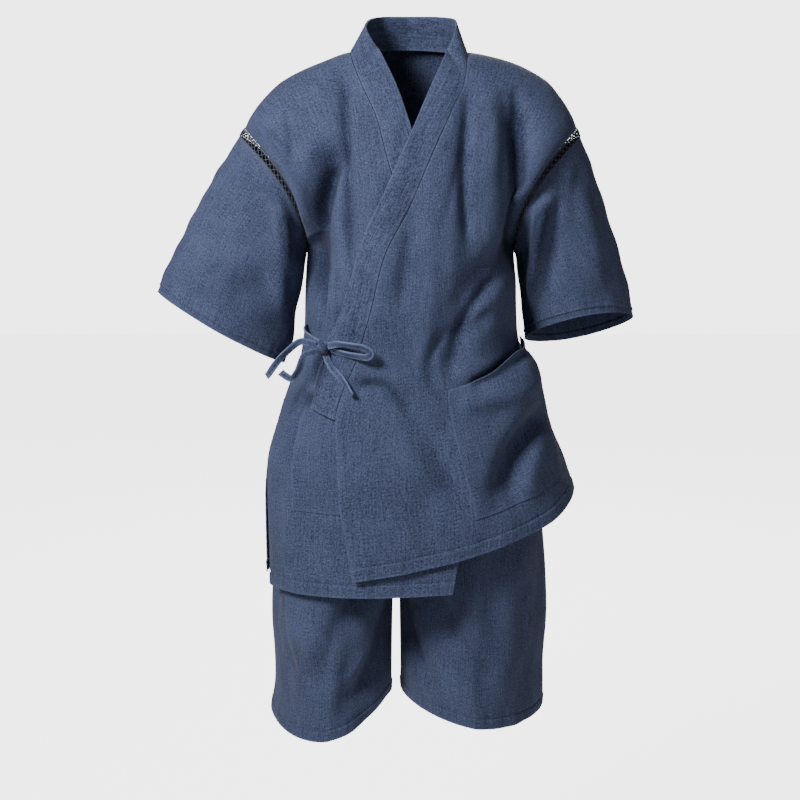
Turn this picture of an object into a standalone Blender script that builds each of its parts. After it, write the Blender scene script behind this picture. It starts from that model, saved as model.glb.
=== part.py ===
"""A jinbei set as it is worn: a crossed jacket with short wide sleeves, and knee-length trousers.

Metres, +Z up, the front faces -Y. The origin is midway between the two points where the jacket
lies on the shoulders beside the neck. Right and left are the wearer's: right is -X, left is +X.
"""

from collections import namedtuple

import bmesh
import bpy
import numpy as np
from mathutils import Vector

# Driving sizes
CLOTH = 0.0016  # thickness of the denim
BAND = 0.0026  # thickness of the doubled collar band, the waistband and the ties
SEAM = 0.0005  # space between two pieces that a seam joins
COLLAR_SEAM = 0.0009  # the same along the collar, whose wall is thicker
UNDER = 0.0068  # how far the right front lies below the left front that covers it
CHEST = -0.265  # height of the underarm
NECK = 0.0805  # half the width of the neck opening
NAPE = 0.0690  # how far the neck opening reaches back
ARM_FRONT = 0.066  # how far the armhole bows to the front
ARM_BACK = 0.060  # how far the armhole bows to the back
SQUARE = 0.84  # 1 gives an ellipse; less gives a body with a flatter front
SIDE = 0.0002  # share of a panel's width left free at a side seam
TOP = 0.0024  # share of a panel's height left free at the shoulder seam
ROWS = 32  # rows of the fronts and the back, half of them over the chest
LEFT_COLUMNS, RIGHT_COLUMNS, NECK_COLUMNS, SHOULDER_COLUMNS = 23, 22, 3, 5
LACE = 0.0115  # width of the openwork tape
LACE_REPEATS = 16  # pairs of slanting bars in half an armhole
RAIL = 0.0016  # solid edge of the tape
BAR = 0.0030  # foot of two slanting bars
POCKET_LIFT = 0.0008  # space between a pocket and the panel below it
STRAP = 0.0115  # width of the ties
FRONT, BACK = -1, 1

Section = namedtuple("Section", "height right left front back")
BODY = [
    Section(-0.265, -0.141, 0.147, -0.134, 0.124),
    Section(-0.300, -0.144, 0.150, -0.134, 0.123),
    Section(-0.340, -0.146, 0.152, -0.134, 0.122),
    Section(-0.380, -0.147, 0.154, -0.131, 0.118),
    Section(-0.404, -0.149, 0.158, -0.130, 0.116),
    Section(-0.431, -0.155, 0.179, -0.131, 0.116),
    Section(-0.460, -0.168, 0.189, -0.133, 0.119),
    Section(-0.519, -0.187, 0.203, -0.138, 0.129),
    Section(-0.578, -0.203, 0.228, -0.145, 0.139),
    Section(-0.640, -0.208, 0.244, -0.151, 0.145),
    Section(-0.700, -0.208, 0.240, -0.154, 0.148),
    Section(-0.770, -0.206, 0.230, -0.155, 0.149),
]

Point = namedtuple("Point", "x height")
SHOULDER = [
    Point(-0.2265, -0.103),
    Point(-0.2190, -0.088),
    Point(-0.2010, -0.064),
    Point(-0.1720, -0.038),
    Point(-0.1160, -0.012),
    Point(-0.0790, 0.000),
    Point(0.0000, 0.005),
    Point(0.0790, 0.000),
    Point(0.1330, -0.011),
    Point(0.1890, -0.038),
    Point(0.2120, -0.064),
    Point(0.2270, -0.088),
    Point(0.2330, -0.103),
]
HEM_LEFT = [
    Point(-0.1000, -0.7185),
    Point(-0.0780, -0.7147),
    Point(0.0000, -0.7000),
    Point(0.0710, -0.6825),
    Point(0.1155, -0.6690),
    Point(0.1910, -0.6420),
    Point(0.2420, -0.6145),
]
HEM_RIGHT = [
    Point(-0.2100, -0.7490),
    Point(-0.1300, -0.7430),
    Point(0.0000, -0.7360),
    Point(0.1000, -0.7300),
    Point(0.2400, -0.7250),
]
HEM_BACK = [
    Point(-0.2100, -0.7500),
    Point(0.0000, -0.7440),
    Point(0.1300, -0.6950),
    Point(0.2400, -0.6250),
]

# Where each front ends towards the middle: the collar seam, and below the collar tip its own edge
EDGE_LEFT = [
    Point(0.0805, 0.000),
    Point(0.0755, -0.037),
    Point(0.0555, -0.080),
    Point(0.0279, -0.139),
    Point(0.0015, -0.200),
    Point(-0.0322, -0.266),
    Point(-0.0491, -0.331),
    Point(-0.0697, -0.406),
    Point(-0.0999, -0.492),
    Point(-0.0980, -0.545),
    Point(-0.0960, -0.600),
    Point(-0.0878, -0.652),
    Point(-0.0750, -0.730),
]
EDGE_RIGHT = [
    Point(-0.0805, 0.000),
    Point(-0.0660, -0.036),
    Point(-0.0450, -0.080),
    Point(-0.0285, -0.139),
    Point(-0.0080, -0.200),
    Point(0.0260, -0.266),
    Point(0.0480, -0.331),
    Point(0.0720, -0.406),
    Point(0.1000, -0.492),
    Point(0.0960, -0.545),
    Point(0.0880, -0.600),
    Point(0.0750, -0.660),
    Point(0.0600, -0.740),
]

# The collar from the nape to its tip: height of its seam, and the place of its free edge
Band = namedtuple("Band", "along seam_height edge_x edge_y edge_height laid")
BAND_LEFT = [
    Band(0.000, 0.005, 0.0000, 0.0640, 0.048, 0),
    Band(0.045, 0.004, 0.0360, 0.0530, 0.048, 0),
    Band(0.085, 0.002, 0.0590, 0.0240, 0.046, 0),
    Band(0.112, 0.000, 0.0660, 0.0000, 0.041, 0),
    Band(0.160, -0.037, 0.0500, -0.0400, -0.001, 0.4),
    Band(0.215, -0.080, 0.0290, -0.0720, -0.045, 1),
    Band(0.285, -0.139, 0.0009, -0.1000, -0.108, 1),
    Band(0.345, -0.200, -0.0298, -0.1200, -0.175, 1),
    Band(0.415, -0.266, -0.0620, -0.1300, -0.246, 1),
    Band(0.485, -0.331, -0.0833, -0.1300, -0.315, 1),
    Band(0.560, -0.406, -0.1135, -0.1300, -0.392, 1),
    Band(0.645, -0.492, -0.1372, -0.1300, -0.480, 1),
]
BAND_RIGHT = [
    Band(0.000, 0.005, 0.0000, 0.0640, 0.048, 0),
    Band(0.045, 0.004, -0.0350, 0.0530, 0.048, 0),
    Band(0.085, 0.002, -0.0550, 0.0240, 0.044, 0),
    Band(0.112, 0.000, -0.0590, 0.0000, 0.037, 0),
    Band(0.160, -0.036, -0.0370, -0.0400, -0.001, 0.4),
    Band(0.215, -0.080, -0.0145, -0.0720, -0.045, 1),
    Band(0.285, -0.139, 0.0060, -0.1000, -0.103, 1),
    Band(0.345, -0.200, 0.0290, -0.1200, -0.175, 1),
    Band(0.415, -0.266, 0.0620, -0.1300, -0.246, 1),
    Band(0.485, -0.331, 0.0840, -0.1300, -0.315, 1),
    Band(0.560, -0.406, 0.1120, -0.1300, -0.392, 1),
    Band(0.645, -0.492, 0.1360, -0.1300, -0.480, 1),
]

# Creases of the jacket: three places along each, its depth and its width
Fold = namedtuple("Fold", "x1 z1 x2 z2 x3 z3 depth width")
FRONT_FOLDS = [
    Fold(-0.094, 0.020, -0.085, -0.127, -0.073, -0.290, 0.008, 0.018),
    Fold(-0.098, -0.100, -0.122, -0.215, -0.142, -0.385, 0.024, 0.019),
    Fold(0.088, 0.000, 0.076, -0.136, 0.088, -0.345, 0.006, 0.018),
    Fold(0.145, -0.040, 0.146, -0.170, 0.143, -0.310, 0.020, 0.020),
    Fold(0.160, -0.260, 0.075, -0.330, 0.043, -0.470, 0.012, 0.022),
    Fold(-0.080, -0.440, 0.012, -0.500, 0.095, -0.650, 0.007, 0.022),
    Fold(0.008, -0.190, 0.002, -0.260, -0.010, -0.340, 0.004, 0.018),
    Fold(-0.150, -0.400, -0.150, -0.540, -0.145, -0.720, 0.006, 0.022),
    Fold(0.030, -0.560, 0.020, -0.640, 0.015, -0.740, 0.005, 0.022),
]
BACK_FOLDS = [
    Fold(-0.120, -0.050, -0.110, -0.200, -0.118, -0.390, 0.018, 0.020),
    Fold(0.125, -0.050, 0.118, -0.200, 0.112, -0.370, 0.020, 0.020),
    Fold(-0.060, -0.300, -0.040, -0.480, -0.052, -0.720, 0.009, 0.026),
    Fold(0.050, -0.330, 0.048, -0.500, 0.066, -0.700, 0.010, 0.024),
    Fold(-0.140, -0.440, -0.140, -0.600, -0.150, -0.740, 0.008, 0.022),
    Fold(0.130, -0.430, 0.150, -0.560, 0.155, -0.680, 0.008, 0.022),
]

# The two sleeve openings: middle, half of the long axis, half depth, and their lean
Cuff = namedtuple("Cuff", "x y z long_x long_z half_y back_drop")
CUFF = {
    -1: Cuff(-0.2650, 0.000, -0.3820, -0.0915, 0.0520, 0.052, 0.000),
    1: Cuff(0.2440, 0.012, -0.3850, 0.0790, 0.0150, 0.074, 0.380),
}
BELLY = {-1: -0.003, 1: 0.002}  # how far the underside bows away from the body
# Creases of the sleeves in shares: around from the top over the front, and along to the cuff
SLEEVE_FOLDS = {
    -1: [
        Fold(0.300, 0.050, 0.330, 0.350, 0.420, 0.800, 0.012, 0.035),
        Fold(0.180, 0.300, 0.200, 0.600, 0.230, 0.950, 0.004, 0.035),
        Fold(0.660, 0.100, 0.690, 0.400, 0.640, 0.850, 0.010, 0.040),
        Fold(0.840, 0.200, 0.820, 0.500, 0.850, 0.900, 0.006, 0.040),
    ],
    1: [
        Fold(0.270, 0.050, 0.310, 0.350, 0.420, 0.850, 0.014, 0.035),
        Fold(0.120, 0.200, 0.150, 0.500, 0.170, 0.900, 0.005, 0.035),
        Fold(0.700, 0.100, 0.680, 0.400, 0.650, 0.850, 0.010, 0.040),
        Fold(0.860, 0.150, 0.840, 0.500, 0.870, 0.900, 0.006, 0.040),
    ],
}

Leg = namedtuple("Leg", "height outer inner front back")
LEGS = {
    -1: [
        Leg(-0.390, -0.1280, -0.0175, -0.098, 0.098),
        Leg(-0.450, -0.1400, -0.0175, -0.103, 0.1078),
        Leg(-0.550, -0.1640, -0.0175, -0.107, 0.1095),
        Leg(-0.640, -0.1840, -0.0180, -0.109, 0.111),
        Leg(-0.735, -0.1945, -0.0210, -0.111, 0.113),
        Leg(-0.818, -0.1995, -0.0230, -0.115, 0.117),
        Leg(-0.890, -0.1970, -0.0240, -0.120, 0.121),
        Leg(-0.980, -0.2035, -0.0250, -0.123, 0.124),
    ],
    1: [
        Leg(-0.390, 0.1280, -0.0170, -0.098, 0.098),
        Leg(-0.450, 0.1400, -0.0170, -0.103, 0.1078),
        Leg(-0.550, 0.1700, -0.0170, -0.107, 0.1095),
        Leg(-0.640, 0.1920, -0.0160, -0.109, 0.111),
        Leg(-0.735, 0.2010, -0.0130, -0.109, 0.111),
        Leg(-0.818, 0.2025, -0.0120, -0.109, 0.112),
        Leg(-0.890, 0.2010, -0.0110, -0.110, 0.112),
        Leg(-0.980, 0.2000, -0.0105, -0.110, 0.112),
    ],
}
LEG_HEM = {-1: -0.942, 1: -0.933}
HEM_DIP = {-1: 0.018, 1: 0.013}  # how much lower a trouser hem hangs in front than behind
HEM_RISE = 0.013  # how much higher it hangs at the inner seam
HEM_LIFT = {-1: 0.013, 1: 0.0}  # how much it is pulled up in front, beside the inner seam
CROTCH_TOP, CROTCH = -0.585, -0.675
LEG_FLAT = 0.20  # how much the legs are pressed flat at the hem
MIDDLE = -0.01725  # where the two trouser legs meet
# Creases of the trouser legs: around in shares from the inner front, and height
LEG_FOLDS = {
    -1: [
        Fold(0.100, -0.640, 0.230, -0.800, 0.330, -0.900, 0.011, 0.030),
        Fold(0.480, -0.680, 0.420, -0.820, 0.350, -0.900, 0.009, 0.030),
        Fold(0.170, -0.700, 0.190, -0.820, 0.210, -0.965, 0.006, 0.025),
        Fold(0.640, -0.560, 0.680, -0.760, 0.660, -0.960, 0.009, 0.035),
        Fold(0.860, -0.600, 0.820, -0.740, 0.840, -0.960, 0.009, 0.035),
    ],
    1: [
        Fold(0.080, -0.640, 0.180, -0.780, 0.330, -0.900, 0.009, 0.030),
        Fold(0.300, -0.640, 0.290, -0.780, 0.270, -0.950, 0.007, 0.030),
        Fold(0.620, -0.560, 0.660, -0.760, 0.640, -0.950, 0.009, 0.035),
        Fold(0.850, -0.600, 0.830, -0.740, 0.850, -0.950, 0.009, 0.035),
    ],
}

# Where the pockets lie: columns and rows of the front below them, their slant and how far they gape
Pocket = namedtuple("Pocket", "first last bottom top slant gape")
POCKET_LEFT = Pocket(8, 21, 2, 9, 1.3, 0.020)
POCKET_RIGHT = Pocket(6, 15, 4, 10, 0.0, 0.0)

Path = namedtuple("Path", "x y z")
Stop = namedtuple("Stop", "at x y z")
KNOT = Path(-0.1166, -0.1060, -0.3931)
KNOT_SIZE = Path(0.0095, 0.0078, 0.0088)
STRAPS = {
    "tie_tail_left": [
        Path(-0.1260, -0.1060, -0.3900),
        Path(-0.1450, -0.1060, -0.3850),
        Path(-0.1640, -0.1030, -0.3990),
        Path(-0.1810, -0.0970, -0.4170),
        Path(-0.1960, -0.0900, -0.4370),
    ],
    "tie_loop_left": [
        Path(-0.1242, -0.1105, -0.3975),
        Path(-0.1400, -0.1140, -0.4010),
        Path(-0.1500, -0.1130, -0.4240),
        Path(-0.1600, -0.1090, -0.4350),
        Path(-0.1750, -0.1040, -0.4277),
    ],
    "tie_loop_right": [
        Path(-0.1100, -0.1120, -0.3900),
        Path(-0.0930, -0.1260, -0.3860),
        Path(-0.0650, -0.1420, -0.3870),
        Path(-0.0510, -0.1450, -0.3950),
        Path(-0.0600, -0.1380, -0.4020),
        Path(-0.0830, -0.1230, -0.4010),
        Path(-0.1066, -0.1072, -0.3965),
    ],
    "tie_tail_right": [
        Path(-0.1145, -0.1045, -0.4032),
        Path(-0.1060, -0.1095, -0.4180),
        Path(-0.0920, -0.1195, -0.4340),
        Path(-0.0770, -0.1315, -0.4550),
    ],
    "tie_side": [
        Path(-0.1223, -0.1006, -0.3887),
        Path(-0.1340, -0.0900, -0.3830),
        Path(-0.1423, -0.0700, -0.3780),
        Path(-0.1448, -0.0400, -0.3750),
    ],
}
STRAP_FACING = {
    "tie_tail_left": (-0.3, -1.0, 0.1),
    "tie_loop_left": (-0.2, -1.0, 0.1),
    "tie_loop_right": (-0.3, -1.0, 0.1),
    "tie_tail_right": (-0.4, -1.0, 0.1),
    "tie_side": (-1.0, -0.6, 0.0),
}


def smooth(low, high, at):
    t = np.clip((at - low) / (high - low), 0, 1)
    return t * t * (3 - 2 * t)


def column(rows, key, name, at):
    """One column of a table, read at any place: a smooth curve that never swings past its rows."""
    places = np.array([getattr(row, key) for row in rows], float)
    values = np.array([getattr(row, name) for row in rows], float)
    if places[0] > places[-1]:
        places, values = places[::-1], values[::-1]
    steps = np.diff(places)
    slopes = np.diff(values) / steps
    lean = np.zeros_like(values)
    lean[0], lean[-1] = slopes[0], slopes[-1]
    same = slopes[:-1] * slopes[1:] > 0
    pair = np.where(same, slopes[:-1] + slopes[1:], 1.0)
    lean[1:-1] = np.where(same, 2 * slopes[:-1] * slopes[1:] / pair, 0.0)
    at = np.clip(np.asarray(at, float), places[0], places[-1])
    i = np.clip(np.searchsorted(places, at) - 1, 0, len(steps) - 1)
    t = (at - places[i]) / steps[i]
    rise = values[i] * (1 + 2 * t) * (1 - t) ** 2 + values[i + 1] * t * t * (3 - 2 * t)
    return rise + steps[i] * (lean[i] * t * (1 - t) ** 2 - lean[i + 1] * t * t * (1 - t))


def power(value, exponent):
    return np.sign(value) * np.abs(value) ** exponent


def creases(folds, x, z, stretch=1.0):
    """Depth of the creases at a place: each is a trough with a low ridge on both sides."""
    total = np.zeros(np.shape(x))
    for fold in folds:
        best = np.full(np.shape(x), 1e9)
        place = np.zeros(np.shape(x))
        ends = np.linspace(0, 1, 9)
        a, b, c = (1 - ends) * (1 - 2 * ends), 4 * ends * (1 - ends), ends * (2 * ends - 1)
        px = a * fold.x1 + b * fold.x2 + c * fold.x3
        pz = (a * fold.z1 + b * fold.z2 + c * fold.z3) * stretch
        for k in range(len(ends) - 1):
            dx, dz = px[k + 1] - px[k], pz[k + 1] - pz[k]
            t = np.clip(((x - px[k]) * dx + (z * stretch - pz[k]) * dz) / (dx * dx + dz * dz), 0, 1)
            away = np.hypot(x - px[k] - t * dx, z * stretch - pz[k] - t * dz)
            nearer = away < best
            best = np.where(nearer, away, best)
            place = np.where(nearer, (k + t) / (len(ends) - 1), place)
        fade = smooth(0, 0.22, place) * smooth(1, 0.72, place)
        trough = np.exp(-((best / fold.width) ** 2)) - 0.3 * np.exp(-((best / fold.width / 2.3) ** 2))
        total -= fold.depth * fade * trough
    return total


def ring(face, around, height):
    """The body's outline at a height: around is 0 at the right side and 1 at the left side."""
    c, s = -np.cos(np.pi * around), np.sin(np.pi * around)
    right = column(BODY, "height", "right", height)
    left = column(BODY, "height", "left", height)
    depth = column(BODY, "height", "front" if face == FRONT else "back", height)
    x = (right + left) / 2 + (left - right) / 2 * power(c, SQUARE)
    return x, depth * power(s, SQUARE), height + 0 * x


def body(face, around, level, hem):
    """The jacket without its creases. level is 0 on the shoulder, 1 at the underarm, 2 at the hem."""
    around, level = np.broadcast_arrays(np.asarray(around, float), np.asarray(level, float))
    low_x = ring(face, around, np.full(around.shape, -0.70))[0]
    end = column(hem, "x", "height", low_x)
    low = ring(face, around, CHEST + (end - CHEST) * np.clip(level - 1, 0, None))
    chest = ring(face, around, np.full(around.shape, CHEST))
    c = -np.cos(np.pi * around)
    top_x = np.where(c < 0, -SHOULDER[0].x, SHOULDER[-1].x) * power(c, SQUARE)
    top_y = 0 * c
    if face == BACK:
        top_y = NAPE * np.sqrt(np.clip(1 - (top_x / NECK) ** 2, 0, 1))
    top_z = column(SHOULDER, "x", "height", top_x)
    a = np.clip(level, 0, 1) * np.pi / 2
    arm = np.abs(c) ** 6 * np.sin(2 * a) * (-ARM_FRONT if face == FRONT else ARM_BACK)
    high = (
        top_x + (chest[0] - top_x) * (1 - np.cos(a) ** 3.3),
        top_y + (chest[1] - top_y) * np.sin(a) ** 0.9 + arm,
        CHEST + (top_z - CHEST) * np.cos(a) ** 1.45,
    )
    return np.stack([np.where(level <= 1, h, l) for h, l in zip(high, low)], -1)


def facing(function, a, b, limits, step=2e-3):
    """Unit vectors square to a surface that is given by two numbers."""
    a0, a1 = np.clip(a - step, *limits[0]), np.clip(a + step, *limits[0])
    b0, b1 = np.clip(b - step, *limits[1]), np.clip(b + step, *limits[1])
    out = np.cross(function(a1, b) - function(a0, b), function(a, b1) - function(a, b0))
    return out / np.maximum(np.linalg.norm(out, axis=-1, keepdims=True), 1e-12)


def jacket(face, around, level, hem, out=0.0):
    """A place on the jacket with its creases, moved out by a distance."""
    around, level = np.broadcast_arrays(np.asarray(around, float), np.asarray(level, float))
    place = body(face, around, level, hem)
    out_way = facing(lambda a, b: body(face, a, b, hem), around, level, ((0, 1), (0, 2.2))) * face
    folds = FRONT_FOLDS if face == FRONT else BACK_FOLDS
    fade = smooth(0, 0.2, level) * smooth(0.004, 0.075, np.minimum(around, 1 - around))
    depth = creases(folds, place[..., 0], place[..., 2]) * fade
    return place + out_way * (depth + out)[..., None]


def across(face, level, hem, edge):
    """How far around a row of the jacket meets an edge that is given as x at each height."""
    low, high = np.zeros(np.shape(level)), np.ones(np.shape(level))
    for _ in range(30):
        middle = (low + high) / 2
        place = body(face, middle, level, hem)
        short = place[..., 0] < edge(place[..., 2])
        low, high = np.where(short, middle, low), np.where(short, high, middle)
    return (low + high) / 2


def locate(face, x, z, hem):
    """The numbers around and level of the place that is seen at x and z."""
    low, high = np.zeros(np.shape(x)), np.full(np.shape(x), 2.0)
    for _ in range(24):
        level = (low + high) / 2
        around = across(face, level, hem, lambda height: x)
        above = body(face, around, level, hem)[..., 2] > z
        low, high = np.where(above, level, low), np.where(above, high, level)
    return around, level


def rows_to_level(t):
    """Rows from the hem (0) to the shoulder (1), half of them above the underarm."""
    u = 1 - t
    return 2 * u


def under(around, level):
    """How deep the right front lies, from nothing at its side and shoulder seams."""
    return UNDER * smooth(0.04, 0.19, around) * smooth(0.10, 0.50, level)


def front_left(s, t, out=0.0):
    level = np.clip(rows_to_level(t), TOP, 2)
    inner = across(FRONT, level, HEM_LEFT, lambda z: column(EDGE_LEFT, "height", "x", z) + COLLAR_SEAM / 2)
    height = body(FRONT, 0.98, level, HEM_LEFT)[..., 2]
    outer = 1 - SIDE - 0.020 * smooth(-0.54, -0.63, height)
    return jacket(FRONT, inner + (outer - inner) * s, level, HEM_LEFT, out)


def front_right(s, t, out=0.0):
    level = np.clip(rows_to_level(t), TOP, 2)
    inner = across(FRONT, level, HEM_RIGHT, lambda z: column(EDGE_RIGHT, "height", "x", z) - COLLAR_SEAM / 2)
    height = body(FRONT, 0.02, level, HEM_RIGHT)[..., 2]
    outer = SIDE + 0.085 * smooth(-0.48, -0.66, height)
    around = outer + (inner - outer) * s
    return jacket(FRONT, around, level, HEM_RIGHT, out - under(around, level))


def back_columns(s):
    """Columns of the back: evenly round the neck, and closer together towards the sides."""
    u = (2 * s - 1) * (NECK_COLUMNS + SHOULDER_COLUMNS)
    corner = NECK / np.where(u < 0, -SHOULDER[0].x, SHOULDER[-1].x)
    neck = corner * np.sin(np.clip(np.abs(u) / NECK_COLUMNS, 0, 1) * np.pi / 2)
    rest = np.clip((np.abs(u) - NECK_COLUMNS) / SHOULDER_COLUMNS, 0, 1)
    share = neck + (1 - corner) * np.sin(rest * np.pi / 2)
    return np.arccos(-np.sign(u) * np.clip(share, 0, 1) ** (1 / SQUARE)) / np.pi


def back(s, t, out=0.0):
    s = back_columns(s)
    level = np.clip(rows_to_level(t), TOP, 2)
    right = SIDE + 0.012 * smooth(-0.48, -0.66, body(BACK, 0.02, level, HEM_BACK)[..., 2])
    left = SIDE + 0.020 * smooth(-0.54, -0.63, body(BACK, 0.98, level, HEM_BACK)[..., 2])
    return jacket(BACK, np.clip(s, right, 1 - left), level, HEM_BACK, out)


def collar_half(side, along, t, out):
    """Half of the collar, along from the nape and t from its seam to its free edge."""
    rows, hem, edge = (BAND_LEFT, HEM_LEFT, EDGE_LEFT) if side > 0 else (BAND_RIGHT, HEM_RIGHT, EDGE_RIGHT)
    behind = along < rows[3].along
    share = np.clip(along / rows[3].along, 0, 1)
    neck_x = NECK * np.sin(share * np.pi / 2) * side
    neck_y = NAPE * np.cos(share * np.pi / 2)
    neck_z = column(SHOULDER, "x", "height", neck_x) + 0.0006
    seam_z = column(rows, "along", "seam_height", along)
    seam_x = column(edge, "height", "x", seam_z)
    edge_x = column(rows, "along", "edge_x", along)
    edge_y = column(rows, "along", "edge_y", along)
    edge_z = column(rows, "along", "edge_height", along)
    laid = column(rows, "along", "laid", along)

    def on_body(x, z, lift):
        around, level = locate(FRONT, x, z, hem)
        level = np.maximum(level, TOP)
        sunk = under(around, level) if side < 0 else 0.0
        return jacket(FRONT, around, level, hem, lift - sunk)

    seam = on_body(seam_x, seam_z, out)
    neck = np.stack([neck_x, neck_y + out * 0.5, neck_z], -1)
    seam = np.where(behind[..., None], neck, seam)
    flat_edge = on_body(edge_x, edge_z, out)
    sink = 0.5 * UNDER * smooth(0.13, 0.25, along) if side < 0 else 0.0
    free = np.stack([edge_x, edge_y - out + sink, edge_z], -1)
    rim = free + (flat_edge - free) * laid[..., None]
    across_band = rim - seam
    width = np.linalg.norm(across_band, axis=-1, keepdims=True)
    start = COLLAR_SEAM / 2 / width
    t = start[..., 0] + (1 - start[..., 0]) * t
    straight = seam + across_band * t[..., None]
    flat = on_body(seam_x + (edge_x - seam_x) * t, seam_z + (edge_z - seam_z) * t, out)
    full = smooth(0.16, 0.23, along)[..., None]
    return straight + (flat - straight) * full


def collar_stops(side):
    """Where the collar's columns lie along it: those of the back's neckline, then the front's rows."""
    rows, hem, edge = (BAND_LEFT, HEM_LEFT, EDGE_LEFT) if side > 0 else (BAND_RIGHT, HEM_RIGHT, EDGE_RIGHT)
    neck = [rows[3].along * k / NECK_COLUMNS for k in range(NECK_COLUMNS + 1)]
    level = rows_to_level(1 - np.arange(1, ROWS + 1) / ROWS)
    inner = across(FRONT, level, hem, lambda z: column(edge, "height", "x", z))
    heights = body(FRONT, inner, level, hem)[:, 2]
    fine = np.linspace(rows[3].along, rows[-1].along, 400)
    drop = column(rows, "along", "seam_height", fine)
    laid = [np.interp(-height, -drop, fine) for height in heights if height > drop[-1] + 0.006]
    return np.array(neck + laid + [rows[-1].along])


def collar(s, t, out=0.0005):
    """The whole collar: s runs from the right tip (0) round the nape to the left tip (1)."""
    stops = np.concatenate([-collar_stops(-1)[:0:-1], collar_stops(1)])
    along = np.interp(s * (len(stops) - 1), np.arange(len(stops)), stops)
    right = collar_half(-1, np.abs(along), t, out)
    left = collar_half(1, np.abs(along), t, out)
    return np.where((along < 0)[..., None], right, left)


def armhole(side, around):
    """The armhole: around is 0 on the shoulder, 0.25 in front, 0.5 under the arm and 0.75 behind."""
    around = around % 1.0
    edge = 1.0 if side > 0 else 0.0
    first = body(FRONT, edge, np.clip(2 * around, 0, 1), HEM_LEFT)
    last = body(BACK, edge, np.clip(2 - 2 * around, 0, 1), HEM_LEFT)
    return np.where((around < 0.5)[..., None], first, last)


def sleeve_plain(side, around, along):
    cuff = CUFF[side]
    turn = 2 * np.pi * around
    c, s = power(np.cos(turn), 1.12), power(np.sin(turn), 1.12)
    x = cuff.x + cuff.long_x * c
    y = cuff.y - cuff.half_y * s
    z = cuff.z + cuff.long_z * c - cuff.back_drop * (y - cuff.y)
    end = np.stack([x, y, z], -1)
    start = armhole(side, around)
    place = start + (end - start) * along[..., None]
    belly = 4 * along * (1 - along)
    low = np.exp(-(((around % 1 - 0.5) / 0.14) ** 2))
    high = np.exp(-(((((around + 0.5) % 1) - 0.5) / 0.16) ** 2))
    place[..., 0] += side * (belly * (BELLY[side] * low + 0.006 * high) + 0.0005 * low)
    place[..., 2] += belly * (0.002 * low + 0.002 * high)
    return place


def sleeve_way(side, around, along):
    limits = ((-9, 9), (0, 1.2))
    return facing(lambda a, b: sleeve_plain(side, a, b), around, along, limits) * -side


def sleeve(side, around, along, out=0.0):
    around, along = np.broadcast_arrays(np.asarray(around, float), np.asarray(along, float))
    place = sleeve_plain(side, around, along)
    depth = creases(SLEEVE_FOLDS[side], around % 1, along, 0.5)
    depth *= smooth(0.06, 0.2, along)
    return place + sleeve_way(side, around, along) * (depth + out)[..., None]


def sleeve_length(side, around):
    return np.linalg.norm(sleeve_plain(side, around, 0 * around + 1) - armhole(side, around), axis=-1)


def sleeve_panel(side, s, t, out=0.0):
    """A sleeve: s runs around from its seam under the arm, t from the tape to the cuff."""
    stops = [0.0] + [k + 0.5 for k in range(LACE_REPEATS)] + [LACE_REPEATS]
    stops += [LACE_REPEATS + stop for stop in stops[1:]]
    around = 0.5 + np.interp(s * (len(stops) - 1), np.arange(len(stops)), stops) / stops[-1]
    start = (LACE + 2 * SEAM) / sleeve_length(side, around)
    return sleeve(side, around, start + (1 - start) * t, out)


def lace(side, face, s, t, out=0.0):
    """Half of the openwork tape, s from the underarm to the shoulder, t across it."""
    one = 1 / LACE_REPEATS
    share = np.interp(s, [0, one, 1 - one, 1], [0.0048, one / 2, 0.5 - one / 2, 0.4988])
    around = 0.5 - share if face == FRONT else 0.5 + share
    length = sleeve_length(side, around)
    return sleeve(side, around, (SEAM + LACE * t) / length, out)


def leg_plain(side, around, height):
    """A trouser leg: around is 0 at the inner seam in front, 0.5 at the outside and 1 behind."""
    rows = LEGS[side]
    outer, inner, front_y, back_y = (
        column(rows, "height", name, height) for name in ("outer", "inner", "front", "back")
    )
    meet = MIDDLE + side * SEAM / 2
    c, s = np.cos(np.pi * around), np.sin(np.pi * around)
    depth = np.where(around < 0.5, -front_y, back_y)
    hip_x = meet + (outer - meet) * power(s, 0.92)
    hip_y = -depth * power(c, 0.92)
    turn = 2 * np.pi * around
    flat = 1 + LEG_FLAT * smooth(-0.68, -0.93, height)
    leg_x = (outer + inner) / 2 - (outer - inner) / 2 * power(np.cos(turn), flat)
    leg_y = -depth * power(np.sin(turn), flat)
    low = smooth(CROTCH_TOP, CROTCH, height)
    x = hip_x + (leg_x - hip_x) * low
    x = np.maximum(x, meet) if side > 0 else np.minimum(x, meet)
    return np.stack([x, hip_y + (leg_y - hip_y) * low, height + 0 * x], -1)


def leg(side, s, t, out=0.0):
    """A trouser leg with its creases: s around it, t from the hem to the waist."""
    turn = 2 * np.pi * s
    bottom = LEG_HEM[side] - HEM_DIP[side] * np.sin(turn) + HEM_RISE * np.cos(turn)
    bottom += HEM_LIFT[side] * np.exp(-((((s + 0.41) % 1 - 0.5) / 0.075) ** 2))
    top = LEGS[side][0].height - SEAM
    height = bottom + (top - bottom) * t
    place = leg_plain(side, s, height)
    out_way = facing(lambda a, b: leg_plain(side, a, b), s, height, ((0, 1), (-1.1, -0.3))) * side
    edge = smooth(0.0, 0.05, np.minimum(s, 1 - s)) * smooth(-0.46, -0.56, height)
    return place + out_way * (creases(LEG_FOLDS[side], s, height, 1.0) * edge + out)[..., None]


def waistband(s, t, out=0.0):
    """The plain band on the trousers' top edge, with its seam behind."""
    turn = 2 * np.pi * s
    top = LEGS[1][0]
    x = top.outer * power(np.sin(turn), 0.92)
    y = (-top.front) * power(np.cos(turn), 0.92)
    return np.stack([x * (1 + out * 8), y * (1 + out * 8), top.height + SEAM / 2 + 0.036 * t], -1)


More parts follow.
